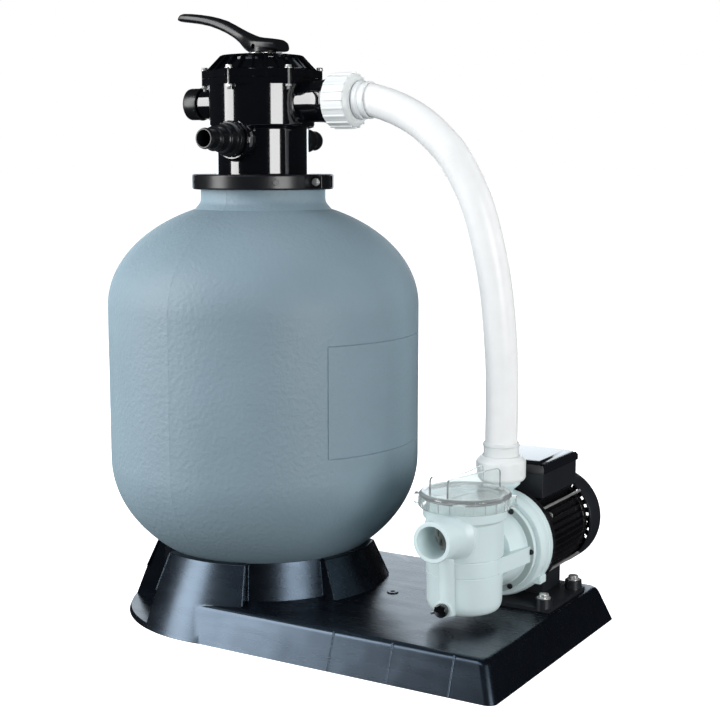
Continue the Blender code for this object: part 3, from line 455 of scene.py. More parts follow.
BASE_RIGHT, BASE_HALF, DECK_Z, SKIRT_LEAN = 525.0, 224.0, 56.0, 20.0
PEDESTAL_TOP_R, PEDESTAL_DECK_R, PEDESTAL_HIGH, LIP_HIGH = 177.0, 204.0, 115.0, 8.0
RECESSES = ((45.0, DECK_Z), (135.0, LIP_HIGH), (225.0, LIP_HIGH), (315.0, DECK_Z))  # middle, floor
RECESS_FOOT_R, RECESS_HEAD_R, RECESS_HEAD_Z = 173.5, 164.5, 121.0
DECK_HOLE = place((241.0, 0.0, 0.0))
SEAT_R, SEAT_RISE, SEAT_CENTRE, SEAT_LOW, SEAT_HIGH = 250.3, 188.3, 255.0, 70.0, 135.0
DECK_ROUND = ((0.0, 0.0), (48.0, 0.0), (52.0, 0.9), (54.6, 3.0), (DECK_Z, 7.0))  # height, inset
FOOT_BOLTS = ((482.0, 38.0), (482.0, 152.0), (314.0, 38.0), (314.0, 152.0))
FOOT_TOP, BOSS_TOP = 62.0, 75.0
BOLT_LINES = [place((x, y, 0.0)) for x, y in FOOT_BOLTS]


def deck_ring(z, inset, radius=14.0, steps=8):
    lean = SKIRT_LEAN * z / DECK_Z + inset
    half, right = BASE_HALF - lean, BASE_RIGHT - lean
    points = [(0.0, -half)]
    points += arc(radius, -90, 0, steps, (right - radius, radius - half))
    points += arc(radius, 0, 90, steps, (right - radius, half - radius))
    points += [(0.0, half)]
    return [(x, y, z) for x, y in points]


def recess(middle, floor, spread=20.5, steps=20):
    """A cutter that takes a sector out of the pedestal, from floor up."""
    outer = arc(252.0, middle - spread - 1.5, middle + spread + 1.5, steps)
    rings = []
    for z, radius in ((floor, RECESS_FOOT_R), (RECESS_HEAD_Z, RECESS_HEAD_R)):
        inner = arc(radius, middle + spread, middle - spread, steps)
        rings.append([(x, y, z) for x, y in inner + outer])
    return loft(rings)


def base_creases():
    """Thin rounded rods half sunk in the walls, where the moulding shows a crease."""
    creases = [rod(1.5, 0.0, 58.0, place((x, side * 223.6, 0.5)) @ turned(side * 19.65, "X"), 16, edge=0.7)
               for x in (260.0, 358.0, 456.0) for side in (-1.0, 1.0)]
    for middle, floor in RECESSES:
        lean = Matrix.Rotation(-math.atan2(RECESS_FOOT_R - RECESS_HEAD_R, RECESS_HEAD_Z - floor), 4, "Y")
        for side in (-1.0, 1.0):
            edge = turned(middle + side * 20.8) @ place((203.2, 0.0, DECK_Z + 1.0)) @ turned(-24.6, "Y")
            creases.append(rod(1.3, 0.0, 62.0, edge, 16, edge=0.6))
            edge = turned(middle + side * 19.8) @ place((173.6, 0.0, floor)) @ lean
            creases.append(rod(1.3, 0.0, 112.0 - floor, edge, 16, edge=0.6))
    return creases


def make_base():
    cone = [(0.0, PEDESTAL_HIGH), (PEDESTAL_TOP_R, PEDESTAL_HIGH, 2.0), (PEDESTAL_DECK_R, DECK_Z, 1.0),
            (222.9, LIP_HIGH, 2.0), (224.0, 0.0), (0.0, 0.0)]
    body = unite(lathe(soft(cone, 1.0), segs=160), loft([deck_ring(z, inset) for z, inset in DECK_ROUND]))
    body = cut(body, *[recess(middle, floor) for middle, floor in RECESSES])
    lip = [(0.0, LIP_HIGH), (223.0, LIP_HIGH, 0.5), (226.0, 0.6), (226.0, 0.0), (0.0, 0.0)]
    rim = [(0.0, 57.6), (9.0, 57.6, 0.8), (9.0, 54.0), (0.0, 54.0)]
    body = unite(body, lathe(soft(lip, 0.4), segs=160), lathe(soft(rim), DECK_HOLE, 40))
    heights = [SEAT_HIGH - (SEAT_HIGH - SEAT_LOW) * i / 12 for i in range(13)]
    bowl = [(SEAT_R * math.sqrt(1 - ((SEAT_CENTRE - z) / SEAT_RISE) ** 2), z) for z in heights]
    under = loft([[(x, y, z) for x, y, _ in deck_ring(z, 5.0)] for z in (-2.0, 51.0)])
    under = cut(under, rod(226.0, -5.0, 60.0, segs=96))
    body = cut(body, under, rod(163.0, -5.0, 125.0, segs=160),
               lathe([(0.0, SEAT_HIGH), *bowl, (0.0, SEAT_LOW)], segs=160),
               rod(4.0, -5.0, 62.0, DECK_HOLE, 32),
               *[rod(4.3, -5.0, 60.0, at, 24) for at in BOLT_LINES])
    solid("base", merge(ease(body, 1.6, 24.0, 3), *base_creases()), "base", "base_moulding", angle=50.0,
          weighted=True)
    for i, (x, y) in enumerate(FOOT_BOLTS):
        bolt = hex_bolt(place((x, y, BOSS_TOP + GAP), spin=20.0 * i), 4.0, 28.0, 8.0, 5.5, 10.5, 1.6)
        solid(f"anchor_bolt_{i + 1}", bolt, "steel", f"pump_bolt_{i + 1}", angle=30.0)


# ---- tank

TANK_R, CYL_LOW, CYL_HIGH, BOTTOM_RISE, TOP_RISE = 249.6, 255.0, 500.0, 188.0, 170.0
PANEL_HALF, PANEL_LOW, PANEL_HIGH, GROOVE_DEEP, GROOVE_HALF = 33.3, 289.0, 458.0, 1.1, 0.9
GROOVE_TURN = math.degrees(GROOVE_HALF / TANK_R)
SEAM_HIGH = 0.4


def tank_angles():
    marks = [side * PANEL_HALF + k * GROOVE_TURN for side in (-1, 1) for k in (-1, 0, 1)]
    for seam in (-90.0, 90.0):
        marks += [seam - 0.5, seam - 0.2, seam + 0.2, seam + 0.5]
    even = [-179.0 + 360.0 * i / 192 for i in range(192)]
    kept = [a for a in even if all(abs(a - m) > 0.6 for m in marks)]
    return [math.radians(a) for a in sorted(kept + marks)]


def tank_relief(angle, radius, z):
    """The engraved outline of the panel on the side, and the raised mould seams front and back."""
    degrees = abs(math.degrees(angle))
    upright = abs(degrees - PANEL_HALF) < GROOVE_TURN / 2 and PANEL_LOW - 0.1 < z < PANEL_HIGH + 0.1
    near_line = min(abs(z - PANEL_LOW), abs(z - PANEL_HIGH)) < GROOVE_HALF / 2
    level = near_line and degrees < PANEL_HALF + GROOVE_TURN / 2
    seam = abs(degrees - 90.0) < 0.3 and radius > 90.0
    return (-GROOVE_DEEP if radius > 240.0 and (upright or level) else 0.0) + (SEAM_HIGH if seam else 0.0)


def make_tank():
    neck_angle = math.degrees(math.acos(109.0 / 250.0))
    outer = soft([(0.0, 695.7), (102.1, 695.7, 0.5), (102.1, 687.0, 0.5), (99.6, 687.0, 0.5),
                  (99.6, 664.0, 6.0), (109.5, 652.5)], 0.5, 5)[1:]
    outer += arc(TANK_R, neck_angle, 0.0, 26, (0.0, CYL_HIGH), TOP_RISE)
    groove_rows = [[line + k * GROOVE_HALF for k in (1, 0, -1)] for line in (PANEL_HIGH, PANEL_LOW)]
    outer += [(TANK_R, z) for z in (480.0, *groove_rows[0], 420.0, 380.0, 340.0, *groove_rows[1])]
    outer += arc(TANK_R, 0.0, -90.0, 34, (0.0, CYL_LOW), BOTTOM_RISE)
    outer[-1] = (0.0, outer[-1][1])
    inner = [(0.0, 73.0)] + arc(243.6, -85.0, 0.0, 10, (0.0, CYL_LOW), 182.0)
    inner += arc(243.6, 0.0, 69.5, 10, (0.0, CYL_HIGH), 164.0) + [(85.0, 695.7)]
    shell = lathe(inner + outer, angles=tank_angles(), shape=tank_relief)
    boss_at = radial(135.0, 150.0)
    boss = lathe(soft([(0.0, 226.0), (24.0, 226.0, 2.0), (24.0, 190.0), (0.0, 190.0)]), boss_at, 64)
    shell = cut(unite(shell, boss), rod(14.3, 180.0, 230.0, boss_at, 48))
    groove = lathe([(97.6, 700.0), (97.6, 691.6), (92.4, 691.6), (92.4, 700.0)], segs=64)
    solid("tank", cut(shell, groove), "tank", "tank_shell", angle=50.0, weighted=True)

    fitting = [(21.0, 230.0), (21.0, 226.3), (14.0, 226.3), (14.0, 196.0), (8.5, 196.0), (8.5, 252.0),
               (14.0, 252.0), (14.0, 230.0)]
    solid("tank_drain", lathe(soft(fitting, 0.6), boss_at, 48), "valve", "drain_fitting")
    cap = [(0.0, 258.0), (20.0, 258.0, 2.5), (20.0, 232.0, 0.8), (14.3, 232.0), (14.3, 252.3), (0.0, 252.3)]
    grips = ring_of_boxes(20, (18.6, -1.2, 233.5), (21.2, 1.2, 255.0), boss_at, 0.5, 2)
    solid("tank_drain_cap_shell", merge(lathe(soft(cap, 0.6), boss_at, 64), *grips), "valve", "drain_cap",
          body="tank_drain_cap")


# ---- clamp ring

RING_R, RING_LOW, RING_HIGH, LUG_X, JOINT_Z = 113.0, 684.0, 708.0, 109.5, 696.0


def make_clamp():
    section = [(111.0, RING_HIGH, 2.0), (RING_R, 706.0, 2.0), (RING_R, 686.0, 2.0), (111.0, RING_LOW, 2.0),
               (100.3, RING_LOW), (100.3, 686.7), (102.8, 686.7), (102.8, 704.8), (74.0, 704.8),
               (74.0, RING_HIGH)]
    for name, node, side in (("clamp_half_front", "clamp_front", -1.0),
                             ("clamp_half_rear", "clamp_rear", 1.0)):
        half = lathe(soft(section, 0.8), segs=144)
        for near, far in ((-LUG_X * 1.09, -LUG_X * 0.95), (LUG_X * 0.95, LUG_X * 1.09)):
            half = unite(half, box((near, -13.0, 685.0), (far, 13.0, 707.0), edge=2.0))
        low, high = (-0.4, 140.0) if side < 0 else (-140.0, 0.4)
        tools = [box((-140.0, low, 670.0), (140.0, high, 720.0))]
        for x in (-LUG_X, LUG_X):
            near, far = sorted((side * 13.0, side * 40.0))
            left, right = sorted((x * 0.94, x * 1.2))
            tools += [rod(3.3, -30.0, 30.0, place((x, 0.0, JOINT_Z), "+Y"), 32),
                      box((left, near, 687.0), (right, far, 705.0))]
        half = cut(half, *tools)
        if side < 0:
            half = unite(half, rod(4.6, 108.0, 113.7, radial(-45.4, JOINT_Z), 32, edge=0.4),
                         rod(2.6, 108.0, 113.6, radial(-128.0, JOINT_Z), 24, edge=0.3))
        solid(name, ease(half, 0.5, 34.0, 2), "fitting", node, angle=45.0, weighted=True)
    for name, node, x in (("clamp_screw_left", "clamp_bolt_left", -LUG_X),
                          ("clamp_screw_right", "clamp_bolt_right", LUG_X)):
        bolt = hex_bolt(place((x, -13.3, JOINT_Z), "-Y"), 3.0, 33.0, 5.5, 4.0, 6.4, 1.2, (-31.4, -26.7))
        solid(name, bolt, "steel", node, angle=30.0)


# ---- valve

UPPER_R, LOWER_R, STEP_Z, BODY_TOP, HEX_R, HEX_LOW = 85.0, 72.5, 783.0, 857.0, 97.5, 846.0
RIM_TOP, LID_TOP, SCREW_PCR, SCREW_TURN = 869.0, 893.0, 91.0, 1.0
UPPER_Z, LOWER_Z, PIN_Z = 820.0, 762.0, 906.0
PUMP_PORT, CAPPED_PORT = place((0, 0, UPPER_Z), "+X"), place((0, 0, UPPER_Z), "-X")
WASTE_PORT, RETURN_PORT = place((0, 0, LOWER_Z), "+Y"), place((0, 0, LOWER_Z), "-Y")


def corner(i, radius):
    return polar(radius, SCREW_TURN + 60.0 * i - 90.0)


def hexagon(radius, round_off=5.0):
    """The flange's outline, with rounded corners."""
    return soft([corner(i, radius) for i in range(6)], round_off, 4)


def screw_slots(low, high):
    """The slots, open to the outside, that the lid's screws stand in."""
    slots = []
    for i in range(6):
        turn = turned(SCREW_TURN + 60.0 * i - 90.0)
        slots.append(box((SCREW_PCR, -3.5, low), (110.0, 3.5, high), turn))
        slots.append(rod(3.5, low, high, turn @ place((SCREW_PCR, 0.0, 0.0)), 24))
    return slots


def make_valve_body():
    outer = [(0.0, 856.7), (UPPER_R, 856.7), (UPPER_R, 784.5, 1.0), (83.0, 782.0, 1.0), (LOWER_R, 779.0, 2.0),
             (LOWER_R, 708.0, 2.0), (74.0, 704.5), (102.5, 704.5), (102.5, 696.0), (70.0, 696.0),
             (70.0, 690.0), (0.0, 690.0)]
    body = lathe(soft(outer, 0.4), segs=144)
    body = unite(body, prism(hexagon(HEX_R), HEX_LOW, 856.7))
    collar = [(0.0, 146.0), (33.8, 146.0, 1.0), (33.8, 131.5), (35.5, 131.2, 0.5), (35.5, 129.0, 1.0),
              (33.0, 120.0, 6.0), (32.0, 108.0), (32.0, 60.0), (0.0, 60.0)]
    side = [(0.0, 134.0), (22.0, 134.0, 1.0), (22.0, 111.0), (24.0, 111.0, 1.0), (24.0, 60.0), (0.0, 60.0)]
    boss = [(0.0, 84.0), (31.0, 84.0, 1.0), (31.0, 82.0), (32.5, 81.0, 1.0), (35.0, 74.0, 1.5), (34.0, 50.0),
            (0.0, 50.0)]
    body = unite(body, lathe(soft(collar, 0.4), PUMP_PORT, 96), lathe(soft(side, 0.4), CAPPED_PORT, 72),
                 lathe(soft(boss, 0.4), WASTE_PORT, 96), lathe(soft(boss, 0.4), RETURN_PORT, 96))
    windows = [prism(arc(60.0, m - 22, m + 22, 8) + arc(34.0, m + 22, m - 22, 8), 770.0, 786.0)
               for m in (90.0, 210.0, 330.0)]
    body = cut(body, *screw_slots(840.0, 860.0))
    body = cut(body, rod(64.0, 680.0, 774.0, segs=96), rod(76.0, STEP_Z, 870.0, segs=96),
               rod(25.3, 770.0, 790.0, segs=48), *windows, rod(22.0, 50.0, 151.0, PUMP_PORT, 64),
               rod(17.0, 50.0, 140.0, CAPPED_PORT, 48), rod(19.3, 40.0, 90.0, WASTE_PORT, 48),
               rod(19.3, 40.0, 90.0, RETURN_PORT, 48),
               lathe([(84.0, 860.0), (84.0, 853.2), (79.0, 853.2), (79.0, 860.0)], segs=96))
    solid("valve_housing", ease(body, 0.7, 30.0, 2), "valve", "valve_body", angle=45.0, weighted=True)


def make_valve_lid():
    dome = [(0.0, LID_TOP), (66.0, LID_TOP, 3.0), (63.0, 887.0, 1.5), (80.0, 871.5, 1.5), (86.0, 868.5),
            (86.0, 857.0), (0.0, 857.0)]
    lid = lathe(soft(dome, 0.5), segs=144)
    collar = lathe(soft([(0.0, 896.3), (23.0, 896.3, 1.0), (25.0, 892.0), (0.0, 892.0)], 0.5), segs=64)
    lid = unite(lid, prism(hexagon(HEX_R), BODY_TOP, RIM_TOP), collar)
    fin = [(60.0, 868.0), (87.5, 868.0), (87.0, 870.2), (66.0, 892.4), (60.0, 892.4)]
    fins = []
    for i in range(24):
        turn = turned(SCREW_TURN - 90.0 + 7.5 + 15.0 * i)
        fins.append(loft([[(x, y, z) for x, z in fin] for y in (-1.1, 1.1)], turn))
    lid = unite(lid, merge(*fins))
    lid = cut(lid, *screw_slots(850.0, 868.9))
    heads = []
    for i in range(6):
        where = place((*corner(i, SCREW_PCR), 0.0))
        heads += [rod(7.0, RIM_TOP, 900.0, where, 32), rod(3.3, 850.0, 880.0, where, 24)]
    hollow = lathe([(0.0, 884.5), (58.0, 884.5), (76.0, 868.0), (76.0, 850.0), (0.0, 850.0)], segs=96)
    lid = cut(lid, *heads, hollow, rod(31.0, 880.0, 887.0, segs=64), rod(12.3, 875.0, 900.0, segs=48))
    solid("valve_cover", ease(lid, 0.5, 30.0, 2), "valve", "valve_lid", angle=45.0, weighted=True)
    for i in range(6):
        where = place((*corner(i, SCREW_PCR), RIM_TOP + GAP), spin=17.0 * i)
        screw = hex_bolt(where, 3.0, 32.0, 5.0, 4.0, 6.0, 1.2, (-27.5, -23.8))
        solid(f"cover_screw_{i + 1}", screw, "steel", f"lid_screw_{i + 1}", angle=30.0)


# the lever from hub to tip: the top point (x, z), the low point (x, z), and half the width
LEVER = (
    (37.5, 913.5, 40.8, 899.0, 17.0), (36.6, 915.5, 40.0, 897.8, 20.0), (34.0, 917.0, 36.5, 897.5, 22.0),
    (28.0, 918.2, 29.0, 897.5, 23.6), (18.0, 919.6, 18.0, 897.5, 24.6), (6.0, 921.0, 6.0, 897.5, 25.0),
    (-6.0, 923.0, -6.0, 897.5, 24.0), (-15.0, 925.8, -13.0, 897.5, 21.0),
    (-23.0, 929.2, -19.0, 897.8, 17.5), (-31.0, 932.8, -26.5, 901.5, 14.5),
    (-42.0, 938.0, -36.0, 911.5, 13.0), (-54.0, 944.0, -47.0, 920.0, 12.5),
    (-69.0, 951.0, -62.0, 928.6, 12.5), (-84.0, 955.6, -79.0, 936.0, 12.8),
    (-100.0, 959.4, -96.0, 942.0, 13.2), (-118.0, 962.4, -115.0, 946.4, 13.6),
    (-136.0, 964.6, -137.0, 949.8, 13.8), (-149.0, 965.4, -154.0, 952.0, 13.4),
    (-152.0, 964.8, -159.5, 953.4, 12.4), (-153.2, 963.6, -161.0, 954.4, 10.6))


def make_lever():
    rings = []
    for x_top, z_top, x_low, z_low, half in LEVER:
        ring = []
        for i in range(36):
            c, s = math.cos(2 * math.pi * i / 36), math.sin(2 * math.pi * i / 36)
            across, up = math.copysign(abs(c) ** 0.75, c), math.copysign(abs(s) ** 0.8, s)
            ring.append(((x_top + x_low) / 2 + up * (x_top - x_low) / 2, half * across,
                         (z_top + z_low) / 2 + up * (z_top - z_low) / 2))
        rings.append(ring)
    lever = unite(loft(rings), rod(25.5, 897.5, 906.0, place((8.0, 0.0, 0.0)), 72, tip=24.5, edge=1.2))
    lever = cut(lever, box((-15.5, -12.8, 870.0), (15.5, 12.8, 915.8)),
                rod(4.3, -30.0, 30.0, place((0.0, 0.0, PIN_Z), "+Y"), 32))
    solid("selector_handle", lever, "fitting", "valve_handle", body="selector_lever", weighted=True)
    ring = [(22.5, 897.2), (22.5, 896.4), (13.5, 896.4), (13.5, 897.2)]
    solid("handle_washer", lathe(ring, segs=64), "steel", angle=35.0)


def make_valve_fittings():
    tail = [(27.0, 85.3, 0.6), (19.0, 85.3), (19.0, 66.0), (14.0, 66.0), (12.5, 155.0, 0.6),
            (15.0, 155.0, 0.6), (16.2, 151.0, 0.6), (15.3, 148.0), (15.3, 134.0), (16.2, 132.5),
            (19.2, 130.5, 0.8), (18.3, 126.0), (18.3, 113.5), (19.5, 112.0), (21.8, 110.5, 0.8), (21.8, 97.0),
            (24.0, 95.5), (27.0, 94.5, 0.8)]
    for name, node, where in (("return_tail", "return_hose_tail", RETURN_PORT),
                              ("waste_tail", "waste_hose_tail", WASTE_PORT)):
        grips = ring_of_boxes(12, (26.2, -1.6, 86.5), (28.2, 1.6, 93.5), where, 0.5, 2)
        solid(name, merge(lathe(soft(tail, 0.5), where, 80), *grips), "fitting", node)
    cap = [(0.0, 141.0), (25.5, 141.0, 3.0), (25.5, 115.0, 1.0), (22.3, 115.0), (22.3, 134.5), (0.0, 134.5)]
    grips = ring_of_boxes(6, (24.6, -3.0, 117.0), (26.2, 3.0, 121.0), CAPPED_PORT, 0.4, 2)
    solid("side_port_cap", merge(lathe(soft(cap, 0.5), CAPPED_PORT, 80), *grips), "fitting", "blanking_cap",
          body="side_cap")


# ---- hose and unions

HOSE_R, HOSE_BORE, HOSE_PITCH, HOSE_RIPPLE, HOSE_SIDES = 24.8, 21.0, 7.0, 0.1, 56
DISCHARGE = place((400.0, 54.0, 0.0))
HOSE_POINTS = (
    (177.0, 0.0, 820.0), (201.0, 0.0, 820.0), (244.0, 1.0, 807.0), (283.0, 3.0, 787.0), (316.0, 6.0, 759.5),
    (341.0, 10.0, 729.5), (371.0, 18.0, 668.0), (389.0, 28.0, 594.0), (398.0, 37.0, 524.0),
    (402.0, 45.0, 445.0), (401.5, 51.0, 375.0), (400.0, 54.0, 303.0), (400.0, 54.0, 278.0))


def hose_route(step=1.4):
    """Points a step apart along a smooth curve through HOSE_POINTS."""
    p = [Vector(point) for point in HOSE_POINTS]
    p = [p[0] * 2 - p[1], *p, p[-1] * 2 - p[-2]]
    dense = []
    for before, a, b, after in zip(p, p[1:], p[2:], p[3:]):
        for i in range(60):
            t = i / 60
            dense.append(0.5 * (2 * a + (b - before) * t + (2 * before - 5 * a + 4 * b - after) * t * t
                                + (3 * a - 3 * b + after - before) * t ** 3))
    dense.append(p[-2])
    even, travelled = [dense[0]], 0.0
    for a, b in zip(dense, dense[1:]):
        travelled += (b - a).length
        if travelled >= step:
            even.append(b)
            travelled = 0.0
    even[-1] = dense[-1]
    return even


def make_hose():
    route = hose_route()
    bm, outside, inside, side, run = bmesh.new(), [], [], Vector((0.0, 1.0, 0.0)), 0.0
    for i, here in enumerate(route):
        along = (route[min(i + 1, len(route) - 1)] - route[max(i - 1, 0)]).normalized()
        side = (side - along * side.dot(along)).normalized()
        across = along.cross(side)
        run += (here - route[i - 1]).length if i else 0.0
        rows = []
        for bore in (False, True):
            row = []
            for k in range(HOSE_SIDES):
                angle = 2 * math.pi * k / HOSE_SIDES
                ripple = HOSE_RIPPLE * math.sin(2 * math.pi * run / HOSE_PITCH + angle)
                radius = HOSE_BORE if bore else HOSE_R + ripple
                row.append(bm.verts.new(here + (side * math.cos(angle) + across * math.sin(angle)) * radius))
            rows.append(row)
        outside.append(rows[0])
        if i % 6 == 0 or i == len(route) - 1:
            inside.append(rows[1])
        else:
            for vertex in rows[1]:
                bm.verts.remove(vertex)
    loops = outside + inside[::-1]
    for a, b in zip(loops, loops[1:] + loops[:1]):
        for k in range(HOSE_SIDES):
            n = (k + 1) % HOSE_SIDES
            bm.faces.new((a[k], a[n], b[n], b[k]))
    solid("flexible_hose", bm, "hose", "hose", angle=60.0)


def union(end, where, nut, tail, ribs=()):
    """A union's nut, which turns, and the sleeve that it draws in."""
    ring = lathe(soft(nut, 0.8), where, 96)
    if ribs:
        ring = unite(ring, *ring_of_boxes(*ribs, where, 1.1))
    solid(f"{end}_union_ring", ring, "white", f"{end}_union_nut", body=f"{end}_nut", angle=45.0,
          weighted=True)
    solid(f"{end}_union_sleeve", lathe(soft(tail, 0.8), where, 96), "white", f"{end}_union_tail")


def make_unions():
    nut = [(34.0, 179.0, 2.0), (41.0, 173.5, 3.0), (41.0, 135.0, 1.2), (38.5, 133.0, 1.0), (34.6, 133.0),
           (34.6, 152.3), (27.6, 152.3), (27.6, 179.0)]
    tail = [(26.8, 201.0, 1.0), (28.2, 201.0, 1.0), (28.2, 196.0, 1.0), (27.0, 194.5), (27.0, 190.5),
            (29.4, 189.0, 1.0), (29.4, 181.0, 1.0), (27.0, 180.0), (27.0, 152.0), (33.0, 152.0),
            (33.0, 146.3), (20.0, 146.3), (20.0, 172.0), (25.6, 172.0), (25.6, 201.0)]
    union("valve", PUMP_PORT, nut, tail, (20, (39.5, -1.8, 135.5), (43.0, 1.8, 174.0)))
    nut = [(31.0, 284.0, 1.5), (38.0, 276.0, 2.0), (38.0, 250.0, 2.0), (35.0, 246.0, 1.0), (30.6, 246.0),
           (30.6, 268.3), (27.6, 268.3), (27.6, 284.0)]
    tail = [(26.8, 304.0, 0.8), (27.9, 304.0, 0.8), (27.9, 299.0, 0.8), (27.0, 298.0), (27.0, 268.0),
            (29.0, 268.0), (29.0, 262.3), (20.0, 262.3), (20.0, 274.0), (25.6, 274.0), (25.6, 304.0)]
    union("pump", DISCHARGE, nut, tail)


# ---- pump

MOTOR = (398.0, 0.0, 147.0)
POT_X, POT_Y = 396.0, -58.0
SUCTION = place((395.0, 0.0, 194.5), "-Y")
DRAIN_AT = (395.0, 0.0, 87.0)
ON_MOTOR, ON_POT = place(MOTOR, "+Y"), place((POT_X, POT_Y, 0.0))


def on_motor(profile, segs=96, radius=0.8):
    return lathe(soft(profile, radius), ON_MOTOR, segs)


def make_pot():
    cup = [(0.0, 240.0), (57.3, 240.0, 1.0), (57.3, 226.0), (62.0, 226.0, 1.0), (62.0, 213.0, 1.5),
           (57.5, 210.0, 2.0), (57.5, 156.6, 0.2), (56.3, 155.9, 0.2), (56.3, 154.9, 0.2), (57.2, 154.2, 0.2),
           (57.0, 132.8, 0.2), (55.8, 132.1, 0.2), (55.8, 131.1, 0.2), (56.7, 130.4, 0.2), (55.8, 84.0, 5.0),
           (51.0, 74.0, 5.0), (0.0, 74.0)]
    pot = lathe(soft(cup, 0.8), ON_POT, 128)
    port = [(0.0, 160.0), (29.8, 160.0, 1.5), (29.8, 128.0, 8.0), (33.0, 118.0, 8.0), (42.0, 108.0),
            (42.0, 96.0), (0.0, 96.0)]
    channel = rod(14.0, 76.0, 170.0, place((395.0, POT_Y - 51.0, 0.0)), 64, edge=3.0)
    cover = on_motor([(0.0, 35.4), (72.0, 35.4), (72.0, 27.0, 1.5), (61.0, 26.2, 2.0), (58.0, 10.0, 6.0),
                      (52.5, -14.0), (0.0, -14.0)], 128)
    webs = [prism(outline, 131.2, 155.4) for outline in (
        [(396.0, -58.0), (452.5, -58.0), (464.0, 27.0), (396.0, 27.0)],
        [(396.0, -58.0), (396.0, 27.0), (332.0, 27.0), (339.5, -58.0)])]
    pot = unite(pot, lathe(soft(port, 0.8, 5), SUCTION, 96), channel,
                rod(12.6, 100.0, 123.0, place(DRAIN_AT, "-Y"), 48, edge=1.2), cover, *webs)
    pot = cut(pot, rod(52.5, 80.0, 245.0, ON_POT, 112))
    pot = cut(pot, rod(23.7, 70.0, 165.0, SUCTION, 80), rod(18.0, -30.0, 40.0, ON_MOTOR, 64),
              rod(6.3, 85.0, 130.0, place(DRAIN_AT, "-Y"), 32))
    solid("pump_front", ease(pot, 1.0, 28.0, 3), "grey", "strainer_pot", angle=50.0, weighted=True)

    # a thin ring of the darker pump plastic on the step under the cover's flange, where it paints the shade
    # that falls there
    painted_shade = on_motor([(71.2, 26.1), (71.2, 27.4), (61.0, 27.4), (61.0, 26.1)], 128, 0.3)
    solid("cover_painted_shade", painted_shade, "painted_shade")

    plug = [(0.0, 134.0), (9.5, 134.0, 1.4), (9.5, 123.3, 0.6), (6.0, 123.3), (6.0, 106.0), (0.0, 106.0)]
    where = place(DRAIN_AT, "-Y", 20.0)
    bar = box((-17.0, -1.8, 126.0), (-4.0, 1.8, 132.0), where, 0.7, 2)
    grips = ring_of_boxes(16, (8.9, -0.8, 125.0), (10.2, 0.8, 132.5), where, 0.3, 1)
    knob = merge(lathe(soft(plug, 0.5), where, 48), bar, *grips)
    solid("drain_knob", knob, "valve", "drain_plug", body="pump_drain_plug")
    for i, angle in enumerate((60.0, 0.0, -60.0, 120.0, 180.0, 240.0)):
        turn = ON_MOTOR @ turned(-angle) @ place((67.0, 0.0, 26.9), "-Z")
        head = [(0.0, 3.2), (4.2, 3.2, 0.8), (4.2, 0.0), (0.0, 0.0)]
        screw = cut(lathe(soft(head, 0.4), turn, 32), box((-0.6, -5.0, 2.2), (0.6, 5.0, 5.0), turn))
        solid(f"cover_bolt_{i + 1}", screw, "motor", slot="motor_plastic", angle=35.0)


def make_lid():
    skirt = [(0.0, 247.4), (53.0, 247.4, 2.0), (57.0, 250.0, 1.5), (65.0, 250.0, 1.5), (68.0, 247.0, 1.5),
             (68.0, 227.4, 0.8), (65.0, 227.4, 0.8), (65.0, 243.6), (58.5, 243.9), (0.0, 243.9)]
    lid = lathe(soft(skirt, 0.6), ON_POT, 128)
    lugs = ring_of_boxes(4, (66.0, -8.5, 229.0), (75.5, 8.5, 245.0), ON_POT, 2.2, start=20.0)
    ribs = ring_of_boxes(24, (67.0, -0.9, 229.0), (69.6, 0.9, 244.0), ON_POT, 0.5, 2, start=7.5)
    walls = []
    spine = ((-56.0, 17.5, 269.0), (-55.4, 17.3, 273.0), (-52.5, 16.5, 276.0), (-40.0, 13.4, 275.6),
             (-27.0, 10.4, 274.6), (-13.0, 8.2, 274.0), (0.0, 7.4, 274.0), (13.0, 8.2, 274.6),
             (27.0, 10.4, 275.8), (40.0, 13.4, 277.0), (52.5, 16.5, 277.8), (55.4, 17.3, 275.0),
             (56.0, 17.5, 271.0))
    for side in (-1.0, 1.0):
        rings = [[(x, side * (y + 1.8), 246.5), (x, side * (y - 1.8), 246.5), (x, side * (y - 1.8), top),
                  (x, side * (y + 1.8), top)] for x, y, top in spine]
        walls.append(loft(rings, ON_POT @ turned(74.0)))
    lid = unite(lid, *lugs, *ribs, *walls)
    solid("strainer_cover", ease(lid, 0.5, 40.0, 2), "clear", "strainer_lid", body="lid", angle=45.0,
          weighted=True)
    ring = arc(2.4, 0.0, 330.0, 11, (60.4, 241.6), 1.7)
    solid("cover_seal", lathe(ring, ON_POT, 96), "seal", "lid_gasket", body="lid_seal")


def make_basket():
    wall = [(0.0, 90.0), (44.0, 90.0), (48.9, 236.0), (51.5, 236.0), (51.5, 233.0), (50.5, 233.0),
            (46.0, 88.0), (0.0, 88.0)]
    basket = lathe(soft(wall, 0.4), ON_POT, 96)
    slots = []
    for row in range(7):
        slots += ring_of_boxes(24, (30.0, -3.2, 97.0 + 15.0 * row), (60.0, 3.2, 107.0 + 15.0 * row), ON_POT,
                               start=7.5 * (row % 2))
    floor = []
    for reach, count in ((12.0, 6), (24.0, 12), (36.0, 18)):
        floor += ring_of_boxes(count, (reach - 3.0, -2.0, 80.0), (reach + 3.0, 2.0, 95.0), ON_POT)
    basket = cut(basket, merge(*slots, *floor), rod(23.7, 70.0, 125.0, SUCTION, 64))
    solid("leaf_basket", basket, "inner", "strainer_basket", angle=35.0)


